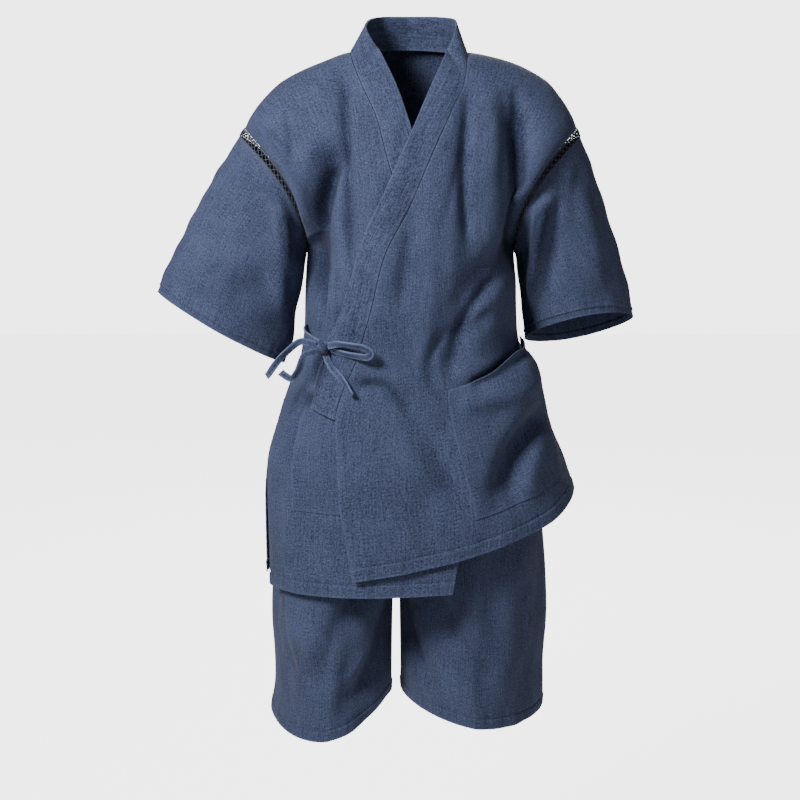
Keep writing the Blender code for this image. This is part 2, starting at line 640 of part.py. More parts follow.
def pocket(place, front, columns, s, t):
    """A patch pocket: the points of the front below it, moved out."""
    across_front = (place.first + (place.last - place.first) * s) / columns
    up_front = (place.bottom + (place.top - place.bottom) * t + place.slant * s * smooth(0.6, 1.0, t)) / ROWS
    gape = place.gape * np.sin(np.pi * np.clip(s * 0.97, 0, 1) ** 1.25) * smooth(0.25, 1.0, t)
    return front(across_front, up_front, POCKET_LIFT + CLOTH + gape)


def strap(path, face, width, s, t):
    """A flat strap that passes through a short list of places."""
    rows = [Stop(i / (len(path) - 1), *place) for i, place in enumerate(path)]
    middle = np.stack([column(rows, "at", name, s) for name in "xyz"], -1)
    ahead = np.stack([column(rows, "at", name, s + 0.02) for name in "xyz"], -1)
    behind = np.stack([column(rows, "at", name, s - 0.02) for name in "xyz"], -1)
    way = ahead - behind
    side = np.cross(way, np.array(face))
    side /= np.linalg.norm(side, axis=-1, keepdims=True)
    return middle + side * ((t - 0.5) * width)[..., None]


# Making the solids
def material(name, colour):
    made = bpy.data.materials.new(name)
    made.use_nodes = True
    shader = made.node_tree.nodes["Principled BSDF"]
    shader.inputs["Base Color"].default_value = (*colour, 1)
    shader.inputs["Roughness"].default_value = 0.85
    return made


def finish(name, grid, thickness, outward, colour):
    """Turns the faces outwards, makes the object and gives it its wall."""
    grid.normal_update()
    turned = sum(face.normal.dot(outward(face.calc_center_median())) for face in grid.faces)
    if turned < 0:
        bmesh.ops.reverse_faces(grid, faces=grid.faces)
    mesh = bpy.data.meshes.new(name)
    grid.to_mesh(mesh)
    mesh.shade_smooth()
    grid.free()
    made = bpy.data.objects.new(name, mesh)
    mesh.materials.append(material(name + "_cloth", colour))
    GROUP.objects.link(made)
    if thickness:
        wall = made.modifiers.new("Wall", "SOLIDIFY")
        wall.thickness = thickness
        wall.offset = -1


def sheet(name, columns, rows, formula, thickness, outward, colour, closed=False):
    """A grid laid out by a formula and given a wall thickness inwards. closed joins its two sides."""
    grid = bmesh.new()
    bmesh.ops.create_grid(grid, x_segments=columns, y_segments=rows, size=1.0)
    flat = np.array([vert.co for vert in grid.verts])
    places = formula((flat[:, 0] + 1) / 2, (flat[:, 1] + 1) / 2)
    for vert, place in zip(grid.verts, places):
        vert.co = place
    if closed:
        bmesh.ops.remove_doubles(grid, verts=grid.verts, dist=0.00002)
    finish(name, grid, thickness, outward, colour)


def tape(name, side, face, outward, colour):
    """Half of an openwork tape: two solid edges joined by slanting bars, with the gaps cut through."""
    pitch, foot, rail = 1 / LACE_REPEATS, BAR / 2 / 0.235, RAIL / LACE
    spots, corners = {}, []

    def spot(kind, s, t):
        key = (kind, round(s, 6))
        if key not in spots:
            spots[key] = len(corners)
            corners.append((min(max(s, 0.0), 1.0), t))
        return spots[key]

    def low(s):
        return spot("low", s, rail)

    def high(s):
        return spot("high", s, 1 - rail)

    faces = []
    for k in range(LACE_REPEATS):
        a, b, c = k * pitch, (k + 0.5) * pitch, (k + 1) * pitch
        edge = [spot("outer", a, 0.0), spot("outer", c, 0.0)]
        faces.append(edge + [low(c), low(c - foot), low(a + foot), low(a)])
        faces.append([low(a), low(a + foot), high(b), high(b - foot)])
        faces.append([high(b), low(c - foot), low(c), high(b + foot)])
        if k == 0:
            faces.append([high(0.0), high(b - foot), high(b), spot("rim", b, 1.0), spot("rim", 0.0, 1.0)])
        if k < LACE_REPEATS - 1:
            d = b + pitch
            inner = [high(b), high(b + foot), high(d - foot), high(d)]
            faces.append(inner + [spot("rim", d, 1.0), spot("rim", b, 1.0)])
        else:
            faces.append([high(b), high(b + foot), high(1.0), spot("rim", 1.0, 1.0), spot("rim", b, 1.0)])
    flat = np.array(corners)
    grid = bmesh.new()
    verts = [grid.verts.new(place) for place in lace(side, face, flat[:, 0], flat[:, 1])]
    for corner_list in faces:
        grid.faces.new([verts[i] for i in corner_list])
    finish(name, grid, CLOTH, outward, colour)


def knot(name, colour):
    ball = bmesh.new()
    bmesh.ops.create_uvsphere(ball, u_segments=12, v_segments=6, radius=1.0)
    for vert in ball.verts:
        vert.co = [KNOT[i] + KNOT_SIZE[i] * vert.co[i] for i in range(3)]
    finish(name, ball, 0, lambda place: place - Vector(KNOT), colour)


def ahead(place):
    return Vector((0, -1, 0))


def behind(place):
    return Vector((0, 1, 0))


def from_neck(place):
    return Vector((place.x, place.y, 0))


def from_leg(side):
    return lambda place: Vector((place.x - side * 0.10, place.y, 0))


def from_sleeve(side):
    def outward(place):
        shoulder = Vector((side * 0.187, 0.0, -0.18))
        axis = Vector((CUFF[side].x, CUFF[side].y, CUFF[side].z)) - shoulder
        along = (place - shoulder).dot(axis) / axis.length_squared
        return place - shoulder - axis * along

    return outward


for old in list(bpy.data.objects):
    bpy.data.objects.remove(old, do_unlink=True)
GROUP = bpy.data.collections.new("jinbei_set")
bpy.context.scene.collection.children.link(GROUP)

DENIM = (0.065, 0.085, 0.165)
DARK = (0.045, 0.060, 0.120)
sheet("front_left", LEFT_COLUMNS, ROWS, front_left, CLOTH, ahead, DENIM)
sheet("front_right", RIGHT_COLUMNS, ROWS, front_right, CLOTH, ahead, DENIM)
sheet("back", 2 * (NECK_COLUMNS + SHOULDER_COLUMNS), ROWS, back, CLOTH, behind, DENIM)
collar_columns = len(collar_stops(-1)) + len(collar_stops(1)) - 2
sheet("collar", collar_columns, 3, collar, BAND, from_neck, DENIM)
for side, word in ((-1, "right"), (1, "left")):
    away = from_sleeve(side)
    sheet("sleeve_" + word, 2 * LACE_REPEATS + 2, 6, lambda s, t: sleeve_panel(side, s, t), CLOTH, away, DENIM, True)
    tape("lace_" + word + "_front", side, FRONT, away, DARK)
    tape("lace_" + word + "_back", side, BACK, away, DARK)
    sheet("trouser_" + word, 24, 12, lambda s, t: leg(side, s, t), CLOTH, from_leg(side), DENIM, True)
for name, place, front, columns in (
    ("pocket_left", POCKET_LEFT, front_left, LEFT_COLUMNS),
    ("pocket_right", POCKET_RIGHT, front_right, RIGHT_COLUMNS),
):
    wide, high = place.last - place.first, place.top - place.bottom
    sheet(name, wide, high, lambda s, t: pocket(place, front, columns, s, t), CLOTH, ahead, DENIM)
sheet("waistband", 28, 1, waistband, BAND, from_neck, DENIM, True)
knot("tie_knot", DENIM)
for name, path in STRAPS.items():
    facing_way = STRAP_FACING[name]
    sheet(name, 10, 1, lambda s, t: strap(path, facing_way, STRAP, s, t), BAND, ahead, DENIM)
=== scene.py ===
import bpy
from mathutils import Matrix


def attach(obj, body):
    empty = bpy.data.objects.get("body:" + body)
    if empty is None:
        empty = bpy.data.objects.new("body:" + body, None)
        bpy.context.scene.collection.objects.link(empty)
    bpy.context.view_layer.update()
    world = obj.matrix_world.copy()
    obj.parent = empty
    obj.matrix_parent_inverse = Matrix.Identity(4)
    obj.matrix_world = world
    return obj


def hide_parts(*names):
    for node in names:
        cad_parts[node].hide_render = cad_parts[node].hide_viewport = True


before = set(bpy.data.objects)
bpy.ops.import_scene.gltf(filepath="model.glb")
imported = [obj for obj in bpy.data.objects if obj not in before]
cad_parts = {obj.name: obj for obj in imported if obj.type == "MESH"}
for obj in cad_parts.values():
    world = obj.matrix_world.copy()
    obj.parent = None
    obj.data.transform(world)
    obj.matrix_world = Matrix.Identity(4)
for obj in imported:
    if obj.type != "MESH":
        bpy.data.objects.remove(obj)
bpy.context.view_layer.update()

# %% [markdown]
# A jinbei set is summer wear from Japan: a short jacket that crosses in front and is closed with
# ties, and knee-length trousers of the same cloth. This one is in a mid-weight indigo denim.
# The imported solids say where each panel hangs, but they are coarse and plain. Here every panel
# is laid out again by the same formulas on a fine grid, so that small creases, hems, stitches
# and the weave can be added without moving the garment. Axes: the set's own right is -X, left
# is +X, the front faces -Y, and heights are measured down from the shoulders.

# %% Tools used throughout
import math
from collections import namedtuple

import bpy
import numpy as np
from mathutils import Vector

# Driving sizes
CLOTH = 0.0016  # thickness of the denim
BAND = 0.0026  # thickness of the doubled collar band, the waistband and the ties
SEAM = 0.0005  # space between two pieces that a seam joins
COLLAR_SEAM = 0.0009  # the same along the collar, whose wall is thicker
UNDER = 0.0068  # how far the right front lies below the left front that covers it
CHEST = -0.265  # height of the underarm
NECK = 0.0805  # half the width of the neck opening
NAPE = 0.0690  # how far the neck opening reaches back
ARM_FRONT = 0.066  # how far the armhole bows to the front
ARM_BACK = 0.060  # how far the armhole bows to the back
SQUARE = 0.84  # 1 gives an ellipse; less gives a body with a flatter front
SIDE = 0.0002  # share of a panel's width left free at a side seam
TOP = 0.0024  # share of a panel's height left free at the shoulder seam
ROWS = 32  # rows of the fronts and the back, half of them over the chest
LEFT_COLUMNS, RIGHT_COLUMNS = 23, 22  # columns of the two fronts, which the pockets count in
LACE = 0.0115  # width of the openwork tape
STRAP = 0.0115  # width of the ties
FRONT, BACK = -1, 1
# %% [markdown]
# The jacket is a tube of cloth round an empty space. Each row of the table below is one level
# of that tube: how far it reaches to both sides, to the front and to the back. The shoulder
# line and the three hems are given as heights along the width. A smooth curve through such a
# short table is easier to correct than a long list of points.

# %% The outline of the jacket
Section = namedtuple("Section", "height right left front back")
BODY = [
    Section(-0.265, -0.141, 0.147, -0.134, 0.124),
    Section(-0.300, -0.144, 0.150, -0.134, 0.123),
    Section(-0.340, -0.146, 0.152, -0.134, 0.122),
    Section(-0.380, -0.147, 0.154, -0.131, 0.118),
    Section(-0.404, -0.149, 0.158, -0.130, 0.116),
    Section(-0.431, -0.155, 0.179, -0.131, 0.116),
    Section(-0.460, -0.168, 0.189, -0.133, 0.119),
    Section(-0.519, -0.187, 0.203, -0.138, 0.129),
    Section(-0.578, -0.203, 0.228, -0.145, 0.139),
    Section(-0.640, -0.208, 0.244, -0.151, 0.145),
    Section(-0.700, -0.208, 0.240, -0.154, 0.148),
    Section(-0.770, -0.206, 0.230, -0.155, 0.149),
]

Point = namedtuple("Point", "x height")
SHOULDER = [
    Point(-0.2265, -0.103),
    Point(-0.2190, -0.088),
    Point(-0.2010, -0.064),
    Point(-0.1720, -0.038),
    Point(-0.1160, -0.012),
    Point(-0.0790, 0.000),
    Point(0.0000, 0.005),
    Point(0.0790, 0.000),
    Point(0.1330, -0.011),
    Point(0.1890, -0.038),
    Point(0.2120, -0.064),
    Point(0.2270, -0.088),
    Point(0.2330, -0.103),
]
HEM_LEFT = [
    Point(-0.1000, -0.7185),
    Point(-0.0780, -0.7147),
    Point(0.0000, -0.7000),
    Point(0.0710, -0.6825),
    Point(0.1155, -0.6690),
    Point(0.1910, -0.6420),
    Point(0.2420, -0.6145),
]
HEM_RIGHT = [
    Point(-0.2100, -0.7490),
    Point(-0.1300, -0.7430),
    Point(0.0000, -0.7360),
    Point(0.1000, -0.7300),
    Point(0.2400, -0.7250),
]
HEM_BACK = [
    Point(-0.2100, -0.7500),
    Point(0.0000, -0.7440),
    Point(0.1300, -0.6950),
    Point(0.2400, -0.6250),
]
# %% The crossed edges and the collar band
# Where each front ends towards the middle: the collar seam, and below the collar tip its own edge
EDGE_LEFT = [
    Point(0.0805, 0.000),
    Point(0.0755, -0.037),
    Point(0.0555, -0.080),
    Point(0.0279, -0.139),
    Point(0.0015, -0.200),
    Point(-0.0322, -0.266),
    Point(-0.0491, -0.331),
    Point(-0.0697, -0.406),
    Point(-0.0999, -0.492),
    Point(-0.0980, -0.545),
    Point(-0.0960, -0.600),
    Point(-0.0878, -0.652),
    Point(-0.0750, -0.730),
]
EDGE_RIGHT = [
    Point(-0.0805, 0.000),
    Point(-0.0660, -0.036),
    Point(-0.0450, -0.080),
    Point(-0.0285, -0.139),
    Point(-0.0080, -0.200),
    Point(0.0260, -0.266),
    Point(0.0480, -0.331),
    Point(0.0720, -0.406),
    Point(0.1000, -0.492),
    Point(0.0960, -0.545),
    Point(0.0880, -0.600),
    Point(0.0750, -0.660),
    Point(0.0600, -0.740),
]

# The collar from the nape to its tip: height of its seam, and the place of its free edge
Band = namedtuple("Band", "along seam_height edge_x edge_y edge_height laid")
BAND_LEFT = [
    Band(0.000, 0.005, 0.0000, 0.0640, 0.048, 0),
    Band(0.045, 0.004, 0.0360, 0.0530, 0.048, 0),
    Band(0.085, 0.002, 0.0590, 0.0240, 0.046, 0),
    Band(0.112, 0.000, 0.0660, 0.0000, 0.041, 0),
    Band(0.160, -0.037, 0.0500, -0.0400, -0.001, 0.4),
    Band(0.215, -0.080, 0.0290, -0.0720, -0.045, 1),
    Band(0.285, -0.139, 0.0009, -0.1000, -0.108, 1),
    Band(0.345, -0.200, -0.0298, -0.1200, -0.175, 1),
    Band(0.415, -0.266, -0.0620, -0.1300, -0.246, 1),
    Band(0.485, -0.331, -0.0833, -0.1300, -0.315, 1),
    Band(0.560, -0.406, -0.1135, -0.1300, -0.392, 1),
    Band(0.645, -0.492, -0.1372, -0.1300, -0.480, 1),
]
BAND_RIGHT = [
    Band(0.000, 0.005, 0.0000, 0.0640, 0.048, 0),
    Band(0.045, 0.004, -0.0350, 0.0530, 0.048, 0),
    Band(0.085, 0.002, -0.0550, 0.0240, 0.044, 0),
    Band(0.112, 0.000, -0.0590, 0.0000, 0.037, 0),
    Band(0.160, -0.036, -0.0370, -0.0400, -0.001, 0.4),
    Band(0.215, -0.080, -0.0145, -0.0720, -0.045, 1),
    Band(0.285, -0.139, 0.0060, -0.1000, -0.103, 1),
    Band(0.345, -0.200, 0.0290, -0.1200, -0.175, 1),
    Band(0.415, -0.266, 0.0620, -0.1300, -0.246, 1),
    Band(0.485, -0.331, 0.0840, -0.1300, -0.315, 1),
    Band(0.560, -0.406, 0.1120, -0.1300, -0.392, 1),
    Band(0.645, -0.492, 0.1360, -0.1300, -0.480, 1),
]
# %% The sleeve openings
# The two sleeve openings: middle, half of the long axis, half depth, and their lean
Cuff = namedtuple("Cuff", "x y z long_x long_z half_y back_drop")
CUFF = {
    -1: Cuff(-0.2650, 0.000, -0.3820, -0.0915, 0.0520, 0.052, 0.000),
    1: Cuff(0.2440, 0.012, -0.3850, 0.0790, 0.0150, 0.074, 0.380),
}
BELLY = {-1: -0.003, 1: 0.002}  # how far the underside bows away from the body
# %% The trouser legs
Leg = namedtuple("Leg", "height outer inner front back")
LEGS = {
    -1: [
        Leg(-0.390, -0.1280, -0.0175, -0.098, 0.098),
        Leg(-0.450, -0.1400, -0.0175, -0.103, 0.1078),
        Leg(-0.550, -0.1640, -0.0175, -0.107, 0.1095),
        Leg(-0.640, -0.1840, -0.0180, -0.109, 0.111),
        Leg(-0.735, -0.1945, -0.0210, -0.111, 0.113),
        Leg(-0.818, -0.1995, -0.0230, -0.115, 0.117),
        Leg(-0.890, -0.1970, -0.0240, -0.120, 0.121),
        Leg(-0.980, -0.2035, -0.0250, -0.123, 0.124),
    ],
    1: [
        Leg(-0.390, 0.1280, -0.0170, -0.098, 0.098),
        Leg(-0.450, 0.1400, -0.0170, -0.103, 0.1078),
        Leg(-0.550, 0.1700, -0.0170, -0.107, 0.1095),
        Leg(-0.640, 0.1920, -0.0160, -0.109, 0.111),
        Leg(-0.735, 0.2010, -0.0130, -0.109, 0.111),
        Leg(-0.818, 0.2025, -0.0120, -0.109, 0.112),
        Leg(-0.890, 0.2010, -0.0110, -0.110, 0.112),
        Leg(-0.980, 0.2000, -0.0105, -0.110, 0.112),
    ],
}
LEG_HEM = {-1: -0.942, 1: -0.933}
HEM_DIP = {-1: 0.018, 1: 0.013}  # how much lower a trouser hem hangs in front than behind
HEM_RISE = 0.013  # how much higher it hangs at the inner seam
HEM_LIFT = {-1: 0.013, 1: 0.0}  # how much it is pulled up in front, beside the inner seam
CROTCH_TOP, CROTCH = -0.585, -0.675
LEG_FLAT = 0.20  # how much the legs are pressed flat at the hem
MIDDLE = -0.01725  # where the two trouser legs meet
# %% Reading the tables
def smooth(low, high, at):
    t = np.clip((at - low) / (high - low), 0, 1)
    return t * t * (3 - 2 * t)


def column(rows, key, name, at):
    """One column of a table, read at any place: a smooth curve that never swings past its rows."""
    places = np.array([getattr(row, key) for row in rows], float)
    values = np.array([getattr(row, name) for row in rows], float)
    if places[0] > places[-1]:
        places, values = places[::-1], values[::-1]
    steps = np.diff(places)
    slopes = np.diff(values) / steps
    lean = np.zeros_like(values)
    lean[0], lean[-1] = slopes[0], slopes[-1]
    same = slopes[:-1] * slopes[1:] > 0
    pair = np.where(same, slopes[:-1] + slopes[1:], 1.0)
    lean[1:-1] = np.where(same, 2 * slopes[:-1] * slopes[1:] / pair, 0.0)
    at = np.clip(np.asarray(at, float), places[0], places[-1])
    i = np.clip(np.searchsorted(places, at) - 1, 0, len(steps) - 1)
    t = (at - places[i]) / steps[i]
    rise = values[i] * (1 + 2 * t) * (1 - t) ** 2 + values[i + 1] * t * t * (3 - 2 * t)
    return rise + steps[i] * (lean[i] * t * (1 - t) ** 2 - lean[i + 1] * t * t * (1 - t))


def power(value, exponent):
    return np.sign(value) * np.abs(value) ** exponent


def creases(folds, x, z, stretch=1.0):
    """Depth of the creases at a place: each is a trough with a low ridge on both sides."""
    total = np.zeros(np.shape(x))
    for fold in folds:
        best = np.full(np.shape(x), 1e9)
        place = np.zeros(np.shape(x))
        ends = np.linspace(0, 1, 9)
        a, b, c = (1 - ends) * (1 - 2 * ends), 4 * ends * (1 - ends), ends * (2 * ends - 1)
        px = a * fold.x1 + b * fold.x2 + c * fold.x3
        pz = (a * fold.z1 + b * fold.z2 + c * fold.z3) * stretch
        for k in range(len(ends) - 1):
            dx, dz = px[k + 1] - px[k], pz[k + 1] - pz[k]
            t = np.clip(((x - px[k]) * dx + (z * stretch - pz[k]) * dz) / (dx * dx + dz * dz), 0, 1)
            away = np.hypot(x - px[k] - t * dx, z * stretch - pz[k] - t * dz)
            nearer = away < best
            best = np.where(nearer, away, best)
            place = np.where(nearer, (k + t) / (len(ends) - 1), place)
        fade = smooth(0, 0.22, place) * smooth(1, 0.72, place)
        trough = np.exp(-((best / fold.width) ** 2)) - 0.3 * np.exp(
            -((best / fold.width / 2.3) ** 2)
        )
        total -= fold.depth * fade * trough
    return total
# %% The plain surface of the jacket
def ring(face, around, height):
    """The body's outline at a height: around is 0 at the right side and 1 at the left side."""
    c, s = -np.cos(np.pi * around), np.sin(np.pi * around)
    right = column(BODY, "height", "right", height)
    left = column(BODY, "height", "left", height)
    depth = column(BODY, "height", "front" if face == FRONT else "back", height)
    x = (right + left) / 2 + (left - right) / 2 * power(c, SQUARE)
    return x, depth * power(s, SQUARE), height + 0 * x


def body(face, around, level, hem):
    """The jacket without creases. level: 0 on the shoulder, 1 at the underarm, 2 at the hem."""
    around, level = np.broadcast_arrays(np.asarray(around, float), np.asarray(level, float))
    low_x = ring(face, around, np.full(around.shape, -0.70))[0]
    end = column(hem, "x", "height", low_x)
    low = ring(face, around, CHEST + (end - CHEST) * np.clip(level - 1, 0, None))
    chest = ring(face, around, np.full(around.shape, CHEST))
    c = -np.cos(np.pi * around)
    top_x = np.where(c < 0, -SHOULDER[0].x, SHOULDER[-1].x) * power(c, SQUARE)
    top_y = 0 * c
    if face == BACK:
        top_y = NAPE * np.sqrt(np.clip(1 - (top_x / NECK) ** 2, 0, 1))
    top_z = column(SHOULDER, "x", "height", top_x)
    a = np.clip(level, 0, 1) * np.pi / 2
    arm = np.abs(c) ** 6 * np.sin(2 * a) * (-ARM_FRONT if face == FRONT else ARM_BACK) * smooth(
        1.0, 0.86, level
    )
    high = (
        top_x + (chest[0] - top_x) * (1 - np.cos(a) ** 3.3),
        top_y + (chest[1] - top_y) * np.sin(a) ** 0.9 + arm,
        CHEST + (top_z - CHEST) * np.cos(a) ** 1.45,
    )
    return np.stack([np.where(level <= 1, h, l) for h, l in zip(high, low)], -1)


def facing(function, a, b, limits, step=2e-3):
    """Unit vectors square to a surface that is given by two numbers."""
    a0, a1 = np.clip(a - step, *limits[0]), np.clip(a + step, *limits[0])
    b0, b1 = np.clip(b - step, *limits[1]), np.clip(b + step, *limits[1])
    out = np.cross(function(a1, b) - function(a0, b), function(a, b1) - function(a, b0))
    return out / np.maximum(np.linalg.norm(out, axis=-1, keepdims=True), 1e-12)
def across(face, level, hem, edge):
    """How far around a row of the jacket meets an edge that is given as x at each height."""
    low, high = np.zeros(np.shape(level)), np.ones(np.shape(level))
    for _ in range(18):
        middle = (low + high) / 2
        place = body(face, middle, level, hem)
        short = place[..., 0] < edge(place[..., 2])
        low, high = np.where(short, middle, low), np.where(short, high, middle)
    return (low + high) / 2


def locate(face, x, z, hem):
    """The numbers around and level of the place that is seen at x and z."""
    low, high = np.zeros(np.shape(x)), np.full(np.shape(x), 2.0)
    for _ in range(16):
        level = (low + high) / 2
        around = across(face, level, hem, lambda height: x)
        above = body(face, around, level, hem)[..., 2] > z
        low, high = np.where(above, level, low), np.where(above, high, level)
    return around, level


def rows_to_level(t):
    """Rows from the hem (0) to the shoulder (1), half of them above the underarm."""
    return 2 * (1 - t)


def under(around, level):
    """How deep the right front lies, from nothing at its side and shoulder seams."""
    return UNDER * smooth(0.04, 0.19, around) * smooth(0.10, 0.50, level)
# %% [markdown]
# Cloth that hangs from two shoulders shows where it is pulled and where there is too much of
# it. Long troughs run down from the shoulders, deep ones lie before and behind the armholes,
# and curved ones start at the knot. They could be simulated, but a simulation would drape its
# own folds, not these. So each crease is one row: three places along it, its depth and its
# width. Wide rows shape the panel, and narrow ones give the small sharp breaks beside them.

# %% The creases of the jacket
Fold = namedtuple("Fold", "x1 z1 x2 z2 x3 z3 depth width")
FRONT_FOLDS = [
    Fold(-0.094, 0.020, -0.085, -0.127, -0.073, -0.290, 0.008, 0.018),
    Fold(-0.098, -0.100, -0.122, -0.215, -0.142, -0.385, 0.024, 0.019),
    Fold(0.088, 0.000, 0.076, -0.136, 0.088, -0.345, 0.006, 0.018),
    Fold(0.145, -0.040, 0.146, -0.170, 0.143, -0.310, 0.020, 0.020),
    Fold(0.160, -0.260, 0.075, -0.330, 0.043, -0.470, 0.012, 0.022),
    Fold(-0.080, -0.440, 0.012, -0.500, 0.095, -0.650, 0.007, 0.022),
    Fold(0.008, -0.190, 0.002, -0.260, -0.010, -0.340, 0.004, 0.018),
    Fold(-0.150, -0.400, -0.150, -0.540, -0.145, -0.720, 0.006, 0.022),
    Fold(0.030, -0.560, 0.020, -0.640, 0.015, -0.740, 0.005, 0.022),
]
FRONT_CREASES = [
    Fold(-0.089, -0.013, -0.085, -0.141, -0.075, -0.326, 0.0090, 0.007),
    Fold(0.084, -0.044, 0.075, -0.161, 0.085, -0.275, 0.0080, 0.008),
    Fold(0.122, -0.043, 0.130, -0.103, 0.121, -0.214, 0.0034, 0.010),
    Fold(0.140, -0.043, 0.150, -0.090, 0.150, -0.181, 0.0050, 0.008),
    Fold(-0.172, -0.075, -0.160, -0.104, -0.158, -0.150, 0.0036, 0.006),
    Fold(-0.193, -0.089, -0.181, -0.102, -0.174, -0.120, 0.0022, 0.005),
    Fold(0.058, -0.359, 0.029, -0.410, 0.044, -0.453, 0.0060, 0.008),
    Fold(0.160, -0.411, 0.113, -0.433, 0.080, -0.447, 0.0110, 0.011),
    Fold(0.124, -0.344, 0.077, -0.374, 0.055, -0.445, 0.0080, 0.012),
    Fold(-0.079, -0.450, -0.028, -0.447, 0.013, -0.503, 0.0105, 0.008),
    Fold(-0.009, -0.476, 0.037, -0.545, 0.101, -0.639, 0.0064, 0.013),
    Fold(0.167, -0.503, 0.144, -0.559, 0.164, -0.636, 0.0110, 0.014),
    Fold(0.006, -0.228, -0.005, -0.281, -0.009, -0.358, 0.0036, 0.008),
    Fold(0.036, -0.178, 0.043, -0.311, 0.026, -0.423, 0.0022, 0.012),
    Fold(-0.135, -0.246, -0.127, -0.318, -0.118, -0.387, 0.0050, 0.006),
    Fold(-0.118, -0.272, -0.114, -0.330, -0.111, -0.392, 0.0080, 0.005),
    Fold(-0.097, -0.277, -0.101, -0.337, -0.107, -0.391, 0.0036, 0.006),
    Fold(-0.151, -0.440, -0.166, -0.476, -0.171, -0.529, 0.0044, 0.007),
    Fold(-0.124, -0.416, -0.146, -0.461, -0.161, -0.505, 0.0040, 0.006),
    Fold(-0.173, -0.505, -0.185, -0.589, -0.190, -0.681, 0.0040, 0.010),
    Fold(-0.119, -0.602, -0.128, -0.666, -0.125, -0.717, 0.0026, 0.010),
    Fold(-0.096, -0.579, -0.077, -0.627, -0.072, -0.684, 0.0026, 0.008),
    Fold(0.043, -0.557, 0.060, -0.627, 0.085, -0.673, 0.0026, 0.012),
    Fold(-0.019, -0.571, -0.014, -0.627, -0.012, -0.684, 0.0018, 0.014),
    Fold(0.208, -0.507, 0.218, -0.555, 0.229, -0.606, 0.0040, 0.008),
    Fold(-0.101, -0.140, -0.117, -0.193, -0.133, -0.259, 0.0180, 0.009),
    Fold(-0.114, -0.398, -0.129, -0.423, -0.146, -0.455, 0.0110, 0.006),
    Fold(-0.126, -0.310, -0.126, -0.351, -0.124, -0.388, 0.0060, 0.005),
    Fold(-0.086, -0.329, -0.097, -0.356, -0.105, -0.386, 0.0060, 0.006),
    Fold(0.139, -0.079, 0.149, -0.169, 0.145, -0.277, 0.0130, 0.009),
    Fold(0.134, -0.289, 0.091, -0.333, 0.056, -0.395, 0.0090, 0.009),
    Fold(0.191, -0.487, 0.147, -0.534, 0.121, -0.627, 0.0240, 0.020),
    Fold(0.180, -0.491, 0.162, -0.545, 0.140, -0.607, 0.0070, 0.009),
    Fold(0.063, -0.461, 0.122, -0.461, 0.184, -0.437, -0.0070, 0.014),
    Fold(-0.006, -0.059, -0.014, -0.129, -0.076, -0.312, 0.0016, 0.006),
    Fold(0.078, -0.103, 0.058, -0.180, 0.042, -0.245, 0.0020, 0.007),
    Fold(-0.049, -0.271, -0.055, -0.365, -0.050, -0.461, 0.0018, 0.010),
    Fold(0.095, -0.259, 0.104, -0.326, 0.093, -0.392, 0.0024, 0.012),
]
BACK_FOLDS = [
    Fold(-0.120, -0.050, -0.110, -0.200, -0.118, -0.390, 0.018, 0.020),
    Fold(0.125, -0.050, 0.118, -0.200, 0.112, -0.370, 0.020, 0.020),
    Fold(-0.060, -0.300, -0.040, -0.480, -0.052, -0.720, 0.009, 0.026),
    Fold(0.050, -0.330, 0.048, -0.500, 0.066, -0.700, 0.010, 0.024),
    Fold(-0.140, -0.440, -0.140, -0.600, -0.150, -0.740, 0.008, 0.022),
    Fold(0.130, -0.430, 0.150, -0.560, 0.155, -0.680, 0.008, 0.022),
]
BACK_CREASES = [
    Fold(-0.085, -0.020, -0.070, -0.130, -0.078, -0.260, 0.0030, 0.009),
    Fold(0.080, -0.020, 0.074, -0.120, 0.060, -0.240, 0.0030, 0.009),
    Fold(0.000, -0.060, 0.008, -0.160, -0.004, -0.300, 0.0018, 0.012),
    Fold(-0.100, -0.330, -0.060, -0.360, 0.000, -0.350, 0.0030, 0.010),
    Fold(0.110, -0.360, 0.060, -0.400, 0.010, -0.380, 0.0030, 0.010),
    Fold(-0.020, -0.470, -0.012, -0.600, -0.020, -0.720, 0.0022, 0.012),
    Fold(0.095, -0.460, 0.105, -0.570, 0.100, -0.680, 0.0024, 0.011),
]
UNEVEN = 0.0011  # how much a panel waves between its creases


def waves(u, v, size, seed):
    """A smooth uneven surface from a few waves in fixed directions, about 1 high and 1 deep."""
    draw = np.random.default_rng(seed)
    total = np.zeros(np.broadcast(u, v).shape)
    for _ in range(12):
        angle = draw.uniform(0, np.pi)
        pitch = size * draw.uniform(0.7, 2.0)
        phase = draw.uniform(0, 2 * np.pi)
        total += np.sin(2 * np.pi * (u * np.cos(angle) + v * np.sin(angle)) / pitch + phase)
    return total / 3.5


def jacket_skin(face, around, level, hem):
    """A place on the jacket with its creases, and the way out of the cloth there."""
    around, level = np.broadcast_arrays(np.asarray(around, float), np.asarray(level, float))
    place = body(face, around, level, hem)
    out_way = facing(lambda a, b: body(face, a, b, hem), around, level, ((0, 1), (0, 2.2))) * face
    wide, narrow = (FRONT_FOLDS, FRONT_CREASES) if face == FRONT else (BACK_FOLDS, BACK_CREASES)
    side = np.minimum(around, 1 - around)
    depth = creases(wide, place[..., 0], place[..., 2]) * smooth(0, 0.2, level) * smooth(
        0.004, 0.075, side
    )
    depth += creases(narrow, place[..., 0], place[..., 2]) * smooth(0, 0.1, level) * smooth(
        0, 0.04, side
    )
    loose = smooth(0.15, 0.7, level) * smooth(0, 0.05, side)
    depth += UNEVEN * loose * waves(place[..., 0], place[..., 2] * 0.6, 0.055, 5 + face)
    return place + out_way * depth[..., None], out_way, depth


def jacket(face, around, level, hem, out=0.0):
    """A place on the jacket, moved out by a distance."""
    place, out_way, depth = jacket_skin(face, around, level, hem)
    return place + out_way * (np.zeros(place.shape[:-1]) + out)[..., None]


